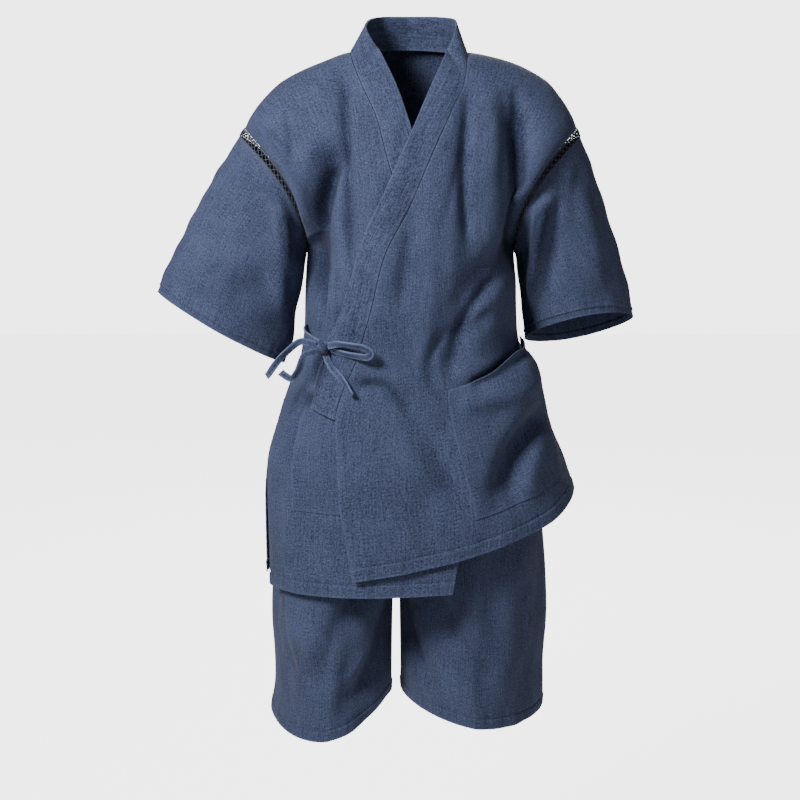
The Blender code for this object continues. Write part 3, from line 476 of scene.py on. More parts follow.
# %% [markdown]
# A hem is the cloth turned up twice and stitched down, so it is thicker than the panel, the
# stitches pull a fine groove into it, and the feed of the sewing machine leaves small puckers.
# All three are a few tenths of a millimetre, and they are added to the distance by which the
# surface is moved out. Rows of the grid are laid closer together beside the stitch line.

# %% Hems
HEM_PITCH = 0.0105  # distance between two puckers
SPACING = 0.0033  # distance between two rows of a panel


def hem_relief(edge, along, width, seed=0.0):
    """How far a hem stands out: edge is the distance from the edge, along the one along it."""
    layer = 0.0009 * smooth(width + 0.0012, width - 0.0012, edge)
    groove = 0.0011 * np.exp(-(((edge - width) / 0.0013) ** 2))
    beat = np.sin(2 * np.pi * along / HEM_PITCH + 1.9 * np.sin(2 * np.pi * along / 0.053 + seed))
    pucker = 0.0005 * beat * np.exp(-(((edge - 0.8 * width) / (0.7 * width)) ** 2))
    return layer - groove + pucker


def stations(length, hem=0.0, spacing=SPACING):
    """Distances from a hem up to the far end, closer together in the hem."""
    fine = []
    if hem:
        fine = [0.0, 0.0012, 0.25 * hem, 0.5 * hem, 0.75 * hem, hem - 0.0022, hem - 0.001, hem]
        fine += [hem + 0.001, hem + 0.0022, hem + 0.0045]
    start = fine[-1] if fine else 0.0
    count = max(int(round((length - start) / spacing)), 2)
    rest = np.linspace(start, length, count + 1)
    return np.concatenate([fine[:-1], rest]) if fine else rest


def shares(formula, s, metres, length):
    """Distances from the hem as shares of the panel's length, true to size beside the hem."""
    row = s[0]
    near = np.linalg.norm(formula(row, row * 0 + 0.03) - formula(row, row * 0), axis=-1) / 0.03
    w = metres / length
    return w * (1 + (length / near - 1) * (1 - w))


# %% [markdown]
# One helper turns a grid of places into a panel. It lays the faces, turns them outwards, and
# writes a UV map in metres, u along the weft and v along the warp, so that the weave of every
# panel has the same real size. Solidify then gives the cloth its thickness, as on the solid.

# %% Making a panel
def lengths(places, axis):
    """Distances along a grid of places, from its first row or column."""
    steps = np.linalg.norm(np.diff(places, axis=axis), axis=-1)
    zero = np.zeros_like(np.take(steps, [0], axis=axis))
    return np.concatenate([zero, np.cumsum(steps, axis=axis)], axis=axis)


def wear_and_painted_shade(places, closed, depth):
    """Edge wear, with crease ridges lighter (ridge wear and painted light) and troughs darker (painted
    shade).
    """
    up, along = lengths(places, 0), lengths(places, 1)
    edge = np.minimum(up, up[-1:] - up)
    if not closed:
        edge = np.minimum(edge, np.minimum(along, along[:, -1:] - along))
    rubbed = 0.45 * np.exp(-((edge / 0.0018) ** 2)) + 0.12 * np.exp(-((edge / 0.007) ** 2))
    # rubbed is real edge wear. The ridge term is partly ridge wear and partly painted light, and the trough
    # term is painted shade.
    return rubbed + 0.3 * smooth(0.0005, 0.004, depth) - 0.9 * smooth(-0.004, -0.016, depth)


def panel(name, places, outward, u, v, thickness, closed=False, depth=0.0):
    """A sheet from places[row, column]. closed joins the last column to the first."""
    rows, columns = places.shape[:2]
    used = columns - 1 if closed else columns
    index = np.arange(rows * used).reshape(rows, used)
    if closed:
        index = np.concatenate([index, index[:, :1]], axis=1)
    grid = np.arange(rows * columns).reshape(rows, columns)
    cut = [(a[:-1, :-1], a[:-1, 1:], a[1:, 1:], a[1:, :-1]) for a in (index, grid)]
    faces, corners = (np.stack(c, -1).reshape(-1, 4) for c in cut)
    middle = (places[:-1, :-1] + places[1:, 1:]) / 2
    normal = np.cross(places[:-1, 1:] - places[:-1, :-1], places[1:, :-1] - places[:-1, :-1])
    area = np.linalg.norm(normal, axis=-1).sum()
    turned = (normal * outward(middle)).sum() < 0
    if turned:
        faces, corners = faces[:, ::-1], corners[:, ::-1]
    out = np.cross(np.gradient(places, axis=1), np.gradient(places, axis=0))
    out /= np.maximum(np.linalg.norm(out, axis=-1, keepdims=True), 1e-12)
    GRIDS[name] = (places, -out if turned else out)
    mesh = bpy.data.meshes.new(name)
    mesh.from_pydata(places[:, :used].reshape(-1, 3).tolist(), [], faces.tolist())
    flat = np.stack([np.broadcast_to(u, grid.shape), np.broadcast_to(v, grid.shape)], -1).reshape(
        -1, 2
    )
    layer = mesh.uv_layers.new(name="cloth")
    layer.data.foreach_set("uv", flat[corners.reshape(-1)].reshape(-1))
    # Stored on the points: edge wear together with painted light on crease ridges and painted shade in
    # crease troughs.
    worn_plus_painted_shade = mesh.attributes.new("worn_plus_painted_shade", "FLOAT", "POINT")
    worn_plus_painted_shade.data.foreach_set(
        "value", wear_and_painted_shade(places, closed, depth + 0 * places[..., 0])[:, :used].reshape(-1)
    )
    mesh.shade_smooth()
    made = bpy.data.objects.new(name, mesh)
    bpy.context.scene.collection.objects.link(made)
    wall = made.modifiers.new("Thickness", "SOLIDIFY")
    wall.thickness = thickness
    wall.offset = -1
    rim = made.modifiers.new("Soft edge", "BEVEL")
    rim.width = 0.3 * thickness
    rim.segments = 2
    rim.limit_method = "ANGLE"
    rim.angle_limit = math.radians(60)
    PANELS[name] = (lengths(places, 1)[:, -1].max(), lengths(places, 0)[-1].max(), area)
    print(
        name,
        len(faces),
        "faces,",
        " x ".join(f"{value:.3f}" for value in PANELS[name][:2]),
        f"{area:.4f}",
    )
    return made


GRIDS = {}
PANELS = {}


def ahead(middle):
    return np.array([0.0, -1.0, 0.0])


def behind(middle):
    return np.array([0.0, 1.0, 0.0])


def from_axis(x, y):
    return lambda middle: (middle - np.array([x, y, 0.0])) * np.array([1.0, 1.0, 0.0])


# %% [markdown]
# The two fronts are cut from the shoulder to the hem. The left one lies on top and ends in the
# collar, and below the collar's tip in its own folded edge. The right one lies 7 mm deeper,
# and its hem shows below the left one. At the left side the front and the back part in a vent.

# %% The fronts
JACKET_HEM, EDGE_FOLD, VENT_HEM = 0.018, 0.014, 0.012


def left_cut(s, t):
    level = np.clip(rows_to_level(t), TOP, 2)
    inner = across(
        FRONT, level, HEM_LEFT, lambda z: column(EDGE_LEFT, "height", "x", z) + COLLAR_SEAM / 2
    )
    height = body(FRONT, 0.98, level, HEM_LEFT)[..., 2]
    outer = 1 - SIDE - 0.020 * smooth(-0.54, -0.63, height)
    return inner + (outer - inner) * s, level


def front_left(s, t, out=0.0):
    around, level = left_cut(s, t)
    return jacket(FRONT, around, level, HEM_LEFT, out)


def right_cut(s, t):
    level = np.clip(rows_to_level(t), TOP, 2)
    inner = across(
        FRONT,
        level,
        HEM_RIGHT,
        lambda z: column(EDGE_RIGHT, "height", "x", z) - COLLAR_SEAM / 2,
    )
    height = body(FRONT, 0.02, level, HEM_RIGHT)[..., 2]
    outer = SIDE + 0.085 * smooth(-0.48, -0.66, height)
    return outer + (inner - outer) * s, level


def front_right(s, t, out=0.0):
    around, level = right_cut(s, t)
    return jacket(FRONT, around, level, HEM_RIGHT, out - under(around, level))


GIRTH = lengths(np.stack(ring(FRONT, np.linspace(0, 1, 200), CHEST), -1)[None], 1)[0]


def weft(around):
    """Distance along the weft of a place on the jacket, from its right side seam."""
    return np.interp(around, np.linspace(0, 1, 200), GIRTH)


def jacket_panel(name, formula, cut, face, hem, length, width, edge_at, deeper=0.0):
    """A panel of the jacket with its hem, and the folded edge at the middle or the side."""
    metres = stations(length, JACKET_HEM)
    side = stations(width, EDGE_FOLD)
    s = (side if edge_at == 0 else (width - side)[::-1]) / width
    s, metres = np.meshgrid(s, metres)
    around, level = cut(s, shares(formula, s, metres, length))
    bare, out_way, depth = jacket_skin(face, around, level, hem)
    bare -= out_way * (deeper * under(around, level))[..., None]
    along, up = lengths(bare, 1), lengths(bare, 0)
    edge = along if edge_at == 0 else along[:, -1:] - along
    low = smooth(-0.470, -0.500, bare[..., 2])
    relief = hem_relief(up, along, JACKET_HEM) + low * hem_relief(edge, up, EDGE_FOLD, 2.0)
    places = bare + out_way * relief[..., None]
    return panel(
        name, places, ahead if face == FRONT else behind, weft(around), up, CLOTH, depth=depth
    )


jacket_panel("left_front", front_left, left_cut, FRONT, HEM_LEFT, 0.69, 0.27, 0)
jacket_panel("right_front", front_right, right_cut, FRONT, HEM_RIGHT, 0.77, 0.24, 1, 1.0)

# %% The back
def back_cut(s, t):
    level = np.clip(rows_to_level(t), TOP, 2)
    right = SIDE + 0.012 * smooth(-0.48, -0.66, body(BACK, 0.02, level, HEM_BACK)[..., 2])
    left = SIDE + 0.020 * smooth(-0.54, -0.63, body(BACK, 0.98, level, HEM_BACK)[..., 2])
    return right + (1 - left - right) * s, level


def back(s, t, out=0.0):
    around, level = back_cut(s, t)
    return jacket(BACK, around, level, HEM_BACK, out)


jacket_panel("back_cloth", back, back_cut, BACK, HEM_BACK, 0.77, 0.42, 0)

# %% [markdown]
# The collar is one long band. It is sewn to both fronts and round the neck, stands up behind
# the neck, and lies flat on the chest. It is a folded strip, thicker than the fronts, and it
# ends in a square tip on each side, just above the ties.

# %% The collar
def collar_half(side, along, t, out):
    """Half of the collar, along from the nape and t from its seam to its free edge."""
    rows, hem, edge = (BAND_LEFT, HEM_LEFT, EDGE_LEFT) if side > 0 else (
        BAND_RIGHT, HEM_RIGHT, EDGE_RIGHT
    )
    behind = along < rows[3].along
    share = np.clip(along / rows[3].along, 0, 1)
    neck_x = NECK * np.sin(share * np.pi / 2) * side
    neck_y = NAPE * np.cos(share * np.pi / 2)
    neck_z = column(SHOULDER, "x", "height", neck_x) + 0.0006
    seam_z = column(rows, "along", "seam_height", along)
    seam_x = column(edge, "height", "x", seam_z)
    edge_x = column(rows, "along", "edge_x", along)
    edge_y = column(rows, "along", "edge_y", along)
    edge_z = column(rows, "along", "edge_height", along)
    laid = column(rows, "along", "laid", along)

    def on_body(x, z, lift):
        around, level = locate(FRONT, x, z, hem)
        level = np.maximum(level, TOP)
        sunk = under(around, level) if side < 0 else 0.0
        return jacket(FRONT, around, level, hem, lift - sunk)

    seam = on_body(seam_x, seam_z, out)
    down = 0.0040 * smooth(1, 0.8, share)
    neck = np.stack([neck_x, neck_y + 0.0012 + out * 0.5, neck_z - down], -1)
    seam = np.where(behind[..., None], neck, seam)
    flat_edge = on_body(edge_x, edge_z, out)
    sink = 0.5 * UNDER * smooth(0.13, 0.25, along) if side < 0 else 0.0
    free = np.stack([edge_x, edge_y - out + sink, edge_z], -1)
    rim = free + (flat_edge - free) * laid[..., None]
    across_band = rim - seam
    width = np.linalg.norm(across_band, axis=-1, keepdims=True)
    start = COLLAR_SEAM / 2 / width
    t = start[..., 0] + (1 - start[..., 0]) * t
    straight = seam + across_band * t[..., None]
    flat = on_body(seam_x + (edge_x - seam_x) * t, seam_z + (edge_z - seam_z) * t, out)
    full = smooth(0.16, 0.23, along)[..., None]
    return straight + (flat - straight) * full

COLLAR_LENGTH = BAND_RIGHT[-1].along + BAND_LEFT[-1].along


def collar(s, t, out=0.0005):
    """The whole collar: s runs from the right tip (0) round the nape to the left tip (1)."""
    along = s * COLLAR_LENGTH - BAND_RIGHT[-1].along
    right = collar_half(-1, np.abs(along), t, out)
    left = collar_half(1, np.abs(along), t, out)
    return np.where((along < 0)[..., None], right, left)


def collar_cloth():
    s = np.linspace(0, 1, 330)
    t = np.array([0, 0.03, 0.08, 0.15, 0.25, 0.36, 0.48, 0.6, 0.7, 0.79, 0.86, 0.91, 0.95, 0.98, 1])
    s, t = np.meshgrid(s, t)
    bare = collar(s, t)
    across_band, along = lengths(bare, 0), lengths(bare, 1)
    seam, free = across_band, across_band[-1:] - across_band
    relief = -0.0009 * np.exp(-seam / 0.0012) - 0.0008 * np.exp(-free / 0.0014)
    relief -= 0.0005 * np.exp(-(((seam - 0.0030) / 0.0011) ** 2))
    relief += 0.0004 * waves(along, across_band, 0.016, 11) * np.exp(-seam / 0.008)
    places = collar(s, t, 0.0009 + relief)
    return panel("collar_band", places, from_axis(0, 0), across_band, along, BAND)


collar_cloth()

# %% [markdown]
# The sleeves are wide, straight and short. They hang from an openwork tape round the armhole,
# and their loose cloth falls in troughs in front of and behind the underarm.

# %% The sleeves
def armhole(side, around):
    """The armhole: around is 0 on the shoulder, 0.25 in front, 0.5 below and 0.75 behind."""
    around = around % 1.0
    edge = 1.0 if side > 0 else 0.0
    first = body(FRONT, edge, np.clip(2 * around, 0, 1), HEM_LEFT)
    last = body(BACK, edge, np.clip(2 - 2 * around, 0, 1), HEM_LEFT)
    return np.where((around < 0.5)[..., None], first, last)


def sleeve_plain(side, around, along):
    cuff = CUFF[side]
    turn = 2 * np.pi * around
    c, s = power(np.cos(turn), 1.12), power(np.sin(turn), 1.12)
    x = cuff.x + cuff.long_x * c
    y = cuff.y - cuff.half_y * s
    z = cuff.z + cuff.long_z * c - cuff.back_drop * (y - cuff.y)
    end = np.stack([x, y, z], -1)
    start = armhole(side, around)
    place = start + (end - start) * along[..., None]
    belly = 4 * along * (1 - along)
    low = np.exp(-(((around % 1 - 0.5) / 0.14) ** 2))
    high = np.exp(-(((((around + 0.5) % 1) - 0.5) / 0.16) ** 2))
    place[..., 0] += side * (belly * (BELLY[side] * low + 0.006 * high) + 0.0005 * low)
    place[..., 2] += belly * (0.002 * low + 0.002 * high)
    return place


def sleeve_way(side, around, along):
    limits = ((-9, 9), (0, 1.2))
    return facing(lambda a, b: sleeve_plain(side, a, b), around, along, limits) * -side

SLEEVE_FOLDS = {
    -1: [
        Fold(0.300, 0.050, 0.330, 0.350, 0.420, 0.800, 0.012, 0.035),
        Fold(0.180, 0.300, 0.200, 0.600, 0.230, 0.950, 0.004, 0.035),
        Fold(0.660, 0.100, 0.690, 0.400, 0.640, 0.850, 0.010, 0.040),
        Fold(0.840, 0.200, 0.820, 0.500, 0.850, 0.900, 0.006, 0.040),
    ],
    1: [
        Fold(0.270, 0.050, 0.310, 0.350, 0.420, 0.850, 0.014, 0.035),
        Fold(0.120, 0.200, 0.150, 0.500, 0.170, 0.900, 0.005, 0.035),
        Fold(0.700, 0.100, 0.680, 0.400, 0.650, 0.850, 0.010, 0.040),
        Fold(0.860, 0.150, 0.840, 0.500, 0.870, 0.900, 0.006, 0.040),
    ],
}
SLEEVE_CREASES = {
    -1: [
        Fold(-0.180, -0.150, -0.170, -0.236, -0.155, -0.335, 0.0130, 0.011),
        Fold(-0.201, -0.126, -0.190, -0.142, -0.177, -0.162, 0.0020, 0.006),
        Fold(-0.155, -0.267, -0.147, -0.322, -0.145, -0.379, 0.0040, 0.008),
        Fold(-0.251, -0.185, -0.266, -0.253, -0.282, -0.322, 0.0014, 0.016),
    ],
    1: [
        Fold(0.200, -0.176, 0.179, -0.251, 0.172, -0.361, 0.0130, 0.012),
        Fold(0.225, -0.130, 0.218, -0.178, 0.209, -0.253, 0.0030, 0.010),
        Fold(0.242, -0.198, 0.258, -0.267, 0.274, -0.336, 0.0016, 0.016),
    ],
}
CUFF_HEM = 0.011


def sleeve_skin(side, around, along):
    around, along = np.broadcast_arrays(np.asarray(around, float), np.asarray(along, float))
    place = sleeve_plain(side, around, along)
    depth = creases(SLEEVE_FOLDS[side], around % 1, along, 0.5)
    front = smooth(0.004, -0.016, place[..., 1])
    depth += creases(SLEEVE_CREASES[side], place[..., 0], place[..., 2]) * front
    loose = waves(place[..., 0] + place[..., 1], place[..., 2], 0.05, 21 + side)
    depth = (depth + UNEVEN * loose) * smooth(0.06, 0.2, along)
    out_way = sleeve_way(side, around, along)
    return place + out_way * depth[..., None], out_way, depth


def sleeve_length(side, around):
    return np.linalg.norm(
        sleeve_plain(side, around, 0 * around + 1) - armhole(side, around), axis=-1
    )


def sleeve_cloth(side, name):
    around = np.linspace(0.5, 1.5, 171)
    metres = stations(0.27, CUFF_HEM)
    around, metres = np.meshgrid(around, metres)
    length = sleeve_length(side, around)
    start = (LACE + 2 * SEAM) / length
    whole = length * (1 - start)
    w = metres / 0.27
    t = w * (1 + (0.27 / whole - 1) * (1 - w))
    along = 1 - (1 - start) * t
    bare, out_way, depth = sleeve_skin(side, around, along)
    up, round_it = lengths(bare, 0), lengths(bare, 1)
    seam = round_it[0, -1] / max(round(round_it[0, -1] / HEM_PITCH), 1)
    round_it = round_it / round_it[:, -1:] * round_it[0, -1] / seam * HEM_PITCH
    places = bare + out_way * hem_relief(up, round_it, CUFF_HEM)[..., None]
    outward = lambda middle: middle - np.array([CUFF[side].x * 0.9, CUFF[side].y, -0.24])
    return panel(name, places, outward, round_it, up, CLOTH, True, depth)


sleeve_cloth(-1, "right_sleeve")
sleeve_cloth(1, "left_sleeve")

# %% The trousers
def leg_plain(side, around, height):
    """A trouser leg: around is 0 at the inner seam in front, 0.5 at the outside and 1 behind."""
    rows = LEGS[side]
    outer, inner, front_y, back_y = (
        column(rows, "height", name, height) for name in ("outer", "inner", "front", "back")
    )
    meet = MIDDLE + side * SEAM / 2
    c, s = np.cos(np.pi * around), np.sin(np.pi * around)
    depth = np.where(around < 0.5, -front_y, back_y)
    hip_x = meet + (outer - meet) * power(s, 0.92)
    hip_y = -depth * power(c, 0.92)
    turn = 2 * np.pi * around
    flat = 1 + LEG_FLAT * smooth(-0.68, -0.93, height)
    leg_x = (outer + inner) / 2 - (outer - inner) / 2 * power(np.cos(turn), flat)
    leg_y = -depth * power(np.sin(turn), flat)
    low = smooth(CROTCH_TOP, CROTCH, height)
    x = hip_x + (leg_x - hip_x) * low
    x = np.maximum(x, meet) if side > 0 else np.minimum(x, meet)
    return np.stack([x, hip_y + (leg_y - hip_y) * low, height + 0 * x], -1)

LEG_FOLDS = {
    -1: [
        Fold(0.100, -0.640, 0.230, -0.800, 0.330, -0.900, 0.011, 0.030),
        Fold(0.480, -0.680, 0.420, -0.820, 0.350, -0.900, 0.009, 0.030),
        Fold(0.170, -0.700, 0.190, -0.820, 0.210, -0.965, 0.006, 0.025),
        Fold(0.640, -0.560, 0.680, -0.760, 0.660, -0.960, 0.009, 0.035),
        Fold(0.860, -0.600, 0.820, -0.740, 0.840, -0.960, 0.009, 0.035),
    ],
    1: [
        Fold(0.080, -0.640, 0.180, -0.780, 0.330, -0.900, 0.009, 0.030),
        Fold(0.300, -0.640, 0.290, -0.780, 0.270, -0.950, 0.007, 0.030),
        Fold(0.620, -0.560, 0.660, -0.760, 0.640, -0.950, 0.009, 0.035),
        Fold(0.850, -0.600, 0.830, -0.740, 0.850, -0.950, 0.009, 0.035),
    ],
}
LEG_CREASES = {
    -1: [
        Fold(-0.026, -0.753, -0.046, -0.849, -0.093, -0.924, 0.0130, 0.017),
        Fold(-0.034, -0.738, -0.060, -0.834, -0.106, -0.890, -0.0040, 0.008),
        Fold(-0.177, -0.737, -0.176, -0.819, -0.152, -0.886, 0.0040, 0.006),
        Fold(-0.184, -0.748, -0.185, -0.838, -0.162, -0.902, -0.0030, 0.007),
        Fold(-0.153, -0.812, -0.153, -0.854, -0.125, -0.878, 0.0030, 0.008),
        Fold(-0.096, -0.753, -0.079, -0.790, -0.065, -0.800, 0.0022, 0.012),
    ],
    1: [
        Fold(0.000, -0.748, 0.003, -0.827, 0.046, -0.901, 0.0100, 0.014),
        Fold(0.016, -0.734, 0.002, -0.783, 0.031, -0.852, -0.0034, 0.008),
        Fold(0.070, -0.738, 0.062, -0.785, 0.053, -0.834, 0.0026, 0.010),
        Fold(0.171, -0.697, 0.167, -0.816, 0.175, -0.937, 0.0040, 0.016),
        Fold(0.111, -0.694, 0.109, -0.753, 0.118, -0.827, 0.0016, 0.014),
    ],
}
LEG_HEM_WIDTH = 0.015


def leg_skin(side, s, t):
    """A trouser leg with its creases: s around it, t from the hem to the waist."""
    turn = 2 * np.pi * s
    bottom = LEG_HEM[side] - HEM_DIP[side] * np.sin(turn) + HEM_RISE * np.cos(turn)
    bottom += HEM_LIFT[side] * np.exp(-((((s + 0.41) % 1 - 0.5) / 0.075) ** 2))
    top = LEGS[side][0].height - SEAM
    height = bottom + (top - bottom) * t
    place = leg_plain(side, s, height)
    out_way = facing(lambda a, b: leg_plain(side, a, b), s, height, ((0, 1), (-1.1, -0.3))) * side
    edge = smooth(0.0, 0.05, np.minimum(s, 1 - s)) * smooth(-0.46, -0.56, height)
    depth = creases(LEG_FOLDS[side], s, height, 1.0) * edge
    depth += creases(LEG_CREASES[side], place[..., 0], height) * edge * smooth(
        0.0, -0.03, place[..., 1]
    )
    depth += UNEVEN * edge * waves(place[..., 0] + place[..., 1], height * 0.7, 0.06, 31 + side)
    return place + out_way * depth[..., None], out_way, depth


def leg_cloth(side, name):
    length = 0.555
    s, metres = np.meshgrid(np.linspace(0, 1, 193), stations(length, LEG_HEM_WIDTH))
    t = shares(lambda a, b: leg_skin(side, a, b)[0], s, metres, length)
    bare, out_way, depth = leg_skin(side, s, t)
    up, round_it = lengths(bare, 0), lengths(bare, 1)
    pucker = round_it / round_it[:, -1:] * round(round_it[0, -1] / HEM_PITCH) * HEM_PITCH
    places = bare + out_way * hem_relief(up, pucker, LEG_HEM_WIDTH)[..., None]
    middle_x = (LEGS[side][3].outer + LEGS[side][3].inner) / 2
    return panel(name, places, from_axis(middle_x, 0), round_it, up, CLOTH, True, depth)


leg_cloth(-1, "right_leg")
leg_cloth(1, "left_leg")


def waistband(s, t, out=0.0):
    turn = 2 * np.pi * s
    top = LEGS[1][0]
    x = top.outer * power(np.sin(turn), 0.92)
    y = (-top.front) * power(np.cos(turn), 0.92)
    return np.stack([x * (1 + out * 8), y * (1 + out * 8), top.height + SEAM / 2 + 0.036 * t], -1)


s, t = np.meshgrid(np.linspace(0, 1, 161), np.linspace(0, 1, 13))
places = waistband(s, t, 0.0006 * waves(s * 0.66, t * 0.036, 0.02, 41))
places[:, -1] = places[:, 0]
panel("waist_band", places, from_axis(0, 0), lengths(places, 1), lengths(places, 0), BAND, True)

# %% The pockets
Pocket = namedtuple("Pocket", "first last bottom top slant gape")
POCKET_LEFT = Pocket(8, 21, 2, 9, 1.3, 0.020)
POCKET_RIGHT = Pocket(6, 15, 4, 10, 0.0, 0.0)
POCKET_CLOTH = 0.0011  # pressed flat along its seams
POCKET_STITCH = 0.003  # distance of its stitches from its edge


def pocket(place, front, columns, s, t, out=0.0):
    """A patch pocket: the points of the front below it, moved out."""
    across_front = (place.first + (place.last - place.first) * s) / columns
    up_front = (place.bottom + (place.top - place.bottom) * t + place.slant * s * smooth(0.6, 1.0, t)) / ROWS
    gape = place.gape * np.sin(np.pi * np.clip(s * 0.97, 0, 1) ** 1.25) * smooth(0.25, 1.0, t)
    edge = np.minimum(np.minimum(s, 1 - s) * 0.13, t * 0.16)
    lift = POCKET_CLOTH + 0.0003 + 0.0007 * smooth(0.0, 0.02, edge) + gape
    lift -= 0.0007 * np.exp(-(((edge - POCKET_STITCH) / 0.0012) ** 2))
    return front(across_front, up_front, lift + out)


def pocket_cloth(name, place, front, columns):
    s, t = np.meshgrid(np.linspace(0, 1, 61), np.linspace(0, 1, 65))
    places = pocket(place, front, columns, s, t)
    return panel(name, places, ahead, lengths(places, 1), lengths(places, 0), POCKET_CLOTH)


pocket_cloth("left_pocket", POCKET_LEFT, front_left, LEFT_COLUMNS)
pocket_cloth("right_pocket", POCKET_RIGHT, front_right, RIGHT_COLUMNS)

# %% The ties
Path = namedtuple("Path", "x y z")
Stop = namedtuple("Stop", "at x y z")
KNOT = Path(-0.1166, -0.1060, -0.3931)
STRAPS = {
    "tie_tail_left": [
        Path(-0.1260, -0.1060, -0.3900),
        Path(-0.1450, -0.1060, -0.3850),
        Path(-0.1640, -0.1030, -0.3990),
        Path(-0.1810, -0.0970, -0.4170),
        Path(-0.1960, -0.0900, -0.4370),
    ],
    "tie_loop_left": [
        Path(-0.1242, -0.1105, -0.3975),
        Path(-0.1400, -0.1140, -0.4010),
        Path(-0.1500, -0.1130, -0.4240),
        Path(-0.1600, -0.1090, -0.4350),
        Path(-0.1750, -0.1040, -0.4277),
    ],
    "tie_loop_right": [
        Path(-0.1100, -0.1120, -0.3900),
        Path(-0.0930, -0.1260, -0.3860),
        Path(-0.0650, -0.1420, -0.3870),
        Path(-0.0510, -0.1450, -0.3950),
        Path(-0.0600, -0.1380, -0.4020),
        Path(-0.0830, -0.1230, -0.4010),
        Path(-0.1066, -0.1072, -0.3965),
    ],
    "tie_tail_right": [
        Path(-0.1145, -0.1045, -0.4032),
        Path(-0.1060, -0.1095, -0.4180),
        Path(-0.0920, -0.1195, -0.4340),
        Path(-0.0770, -0.1315, -0.4550),
    ],
    "tie_side": [
        Path(-0.1223, -0.1006, -0.3887),
        Path(-0.1340, -0.0900, -0.3830),
        Path(-0.1423, -0.0700, -0.3780),
        Path(-0.1448, -0.0400, -0.3750),
    ],
}
STRAP_FACING = {
    "tie_tail_left": (-0.3, -1.0, 0.1),
    "tie_loop_left": (-0.2, -1.0, 0.1),
    "tie_loop_right": (-0.3, -1.0, 0.1),
    "tie_tail_right": (-0.4, -1.0, 0.1),
    "tie_side": (-1.0, -0.6, 0.0),
}

def strap(path, face, width, s, t):
    """A flat strap that passes through a short list of places."""
    rows = [Stop(i / (len(path) - 1), *place) for i, place in enumerate(path)]
    middle = np.stack([column(rows, "at", name, s) for name in "xyz"], -1)
    after = np.stack([column(rows, "at", name, s + 0.02) for name in "xyz"], -1)
    before = np.stack([column(rows, "at", name, s - 0.02) for name in "xyz"], -1)
    way = after - before
    side = np.cross(way, np.array(face))
    side /= np.linalg.norm(side, axis=-1, keepdims=True)
    return middle + side * ((t - 0.5) * width)[..., None]


def knot_band(name, centre, axis, tall, deep, width, drop):
    """A short band of the tie that goes round the knot."""
    axis = np.array(axis) / np.linalg.norm(axis)
    up = np.cross(axis, [0.0, -1.0, 0.0])
    up /= np.linalg.norm(up)
    front = np.cross(up, axis)
    s, t = np.meshgrid(np.linspace(0, 1, 33), np.linspace(-0.5, 0.5, 9), indexing="ij")
    turn = 2 * np.pi * s
    bow = 1 - 0.55 * (2 * t) ** 4
    places = np.array(centre) + axis * (t * width * (1 - drop * np.cos(turn)))[..., None]
    places = places + up * (tall * bow * np.sin(turn))[..., None] + front * (
        deep * bow * np.cos(turn)
    )[..., None]
    places = places.swapaxes(0, 1)
    outward = lambda middle: middle - np.array(centre)
    return panel(name, places, outward, lengths(places, 1), lengths(places, 0), 0.0014, True)


knot_band("knot_over", KNOT, (1.0, 0.1, 0.45), 0.0093, 0.0085, 0.0105, 0.10)
knot_band("knot_under", KNOT, (0.35, 0.1, -1.0), 0.0098, 0.0068, 0.0125, 0.0)

STRAP_WIDTH = 0.0095
LIFTED = {"tie_loop_left": 0.0095, "tie_side": 0.0030}  # how far the middle stands off the panel


def twisted(places, turn):
    """A strap whose cloth is turned about its own line."""
    middle = places.mean(1, keepdims=True)
    side = places - middle
    way = np.gradient(middle, axis=0)
    way /= np.linalg.norm(way, axis=-1, keepdims=True)
    return middle + side * np.cos(turn) + np.cross(way, side) * np.sin(turn)


for name, path in STRAPS.items():
    s, t = np.meshgrid(np.linspace(0, 1, 41), np.linspace(0, 1, 7), indexing="ij")
    places = strap(path, STRAP_FACING[name], STRAP_WIDTH, s, t)
    turn = 0.75 * np.sin(5.0 * s[:, :1, None] + len(path) + 2 * path[0].x / STRAP) * smooth(
        0, 0.2, s[:, :1, None]
    )
    places[..., 1] -= LIFTED.get(name, 0.0) * np.sin(np.pi * s)
    places = twisted(places, turn) + np.array([0, 0.0004, 0]) * waves(
        s * 0.1, t * 0.01, 0.02, 51
    )[..., None]
    panel(name + "_cloth", places, ahead, lengths(places, 1), lengths(places, 0), BAND)

# %% [markdown]
# Denim is woven from warp threads dyed with indigo and weft threads that stay pale, so the blue
# is full of short pale flecks. The threads are uneven: thick places in them, the slubs, give
# faint streaks down the panel and shorter ones across it. It wears pale where it is rubbed on
# its edges. Its colour is also painted lighter on crease ridges, partly ridge wear and partly
# painted light, and painted darker in crease troughs, a painted shade. A photograph could be
# laid on the panels, but nodes stay sharp at any distance. The weave is a node group that reads
# the UV map in metres and the stored edge wear with painted crease light and shade on the
# points, and each cloth gives it its own colours.

# %% The weave
def add(tree, kind, inputs=(), **settings):
    """A node with its settings. inputs gives values, or the sockets that feed it."""
    made = tree.nodes.new(kind)
    for key, value in settings.items():
        setattr(made, key, value)
    for key, value in dict(inputs).items():
        if isinstance(value, bpy.types.NodeSocket):
            tree.links.new(value, made.inputs[key])
        else:
            made.inputs[key].default_value = value
    return made


def math_node(tree, operation, first, second=0.0, third=0.0, clamp=False):
    made = add(tree, "ShaderNodeMath", {0: first, 1: second, 2: third}, operation=operation)
    made.use_clamp = clamp
    return made.outputs[0]


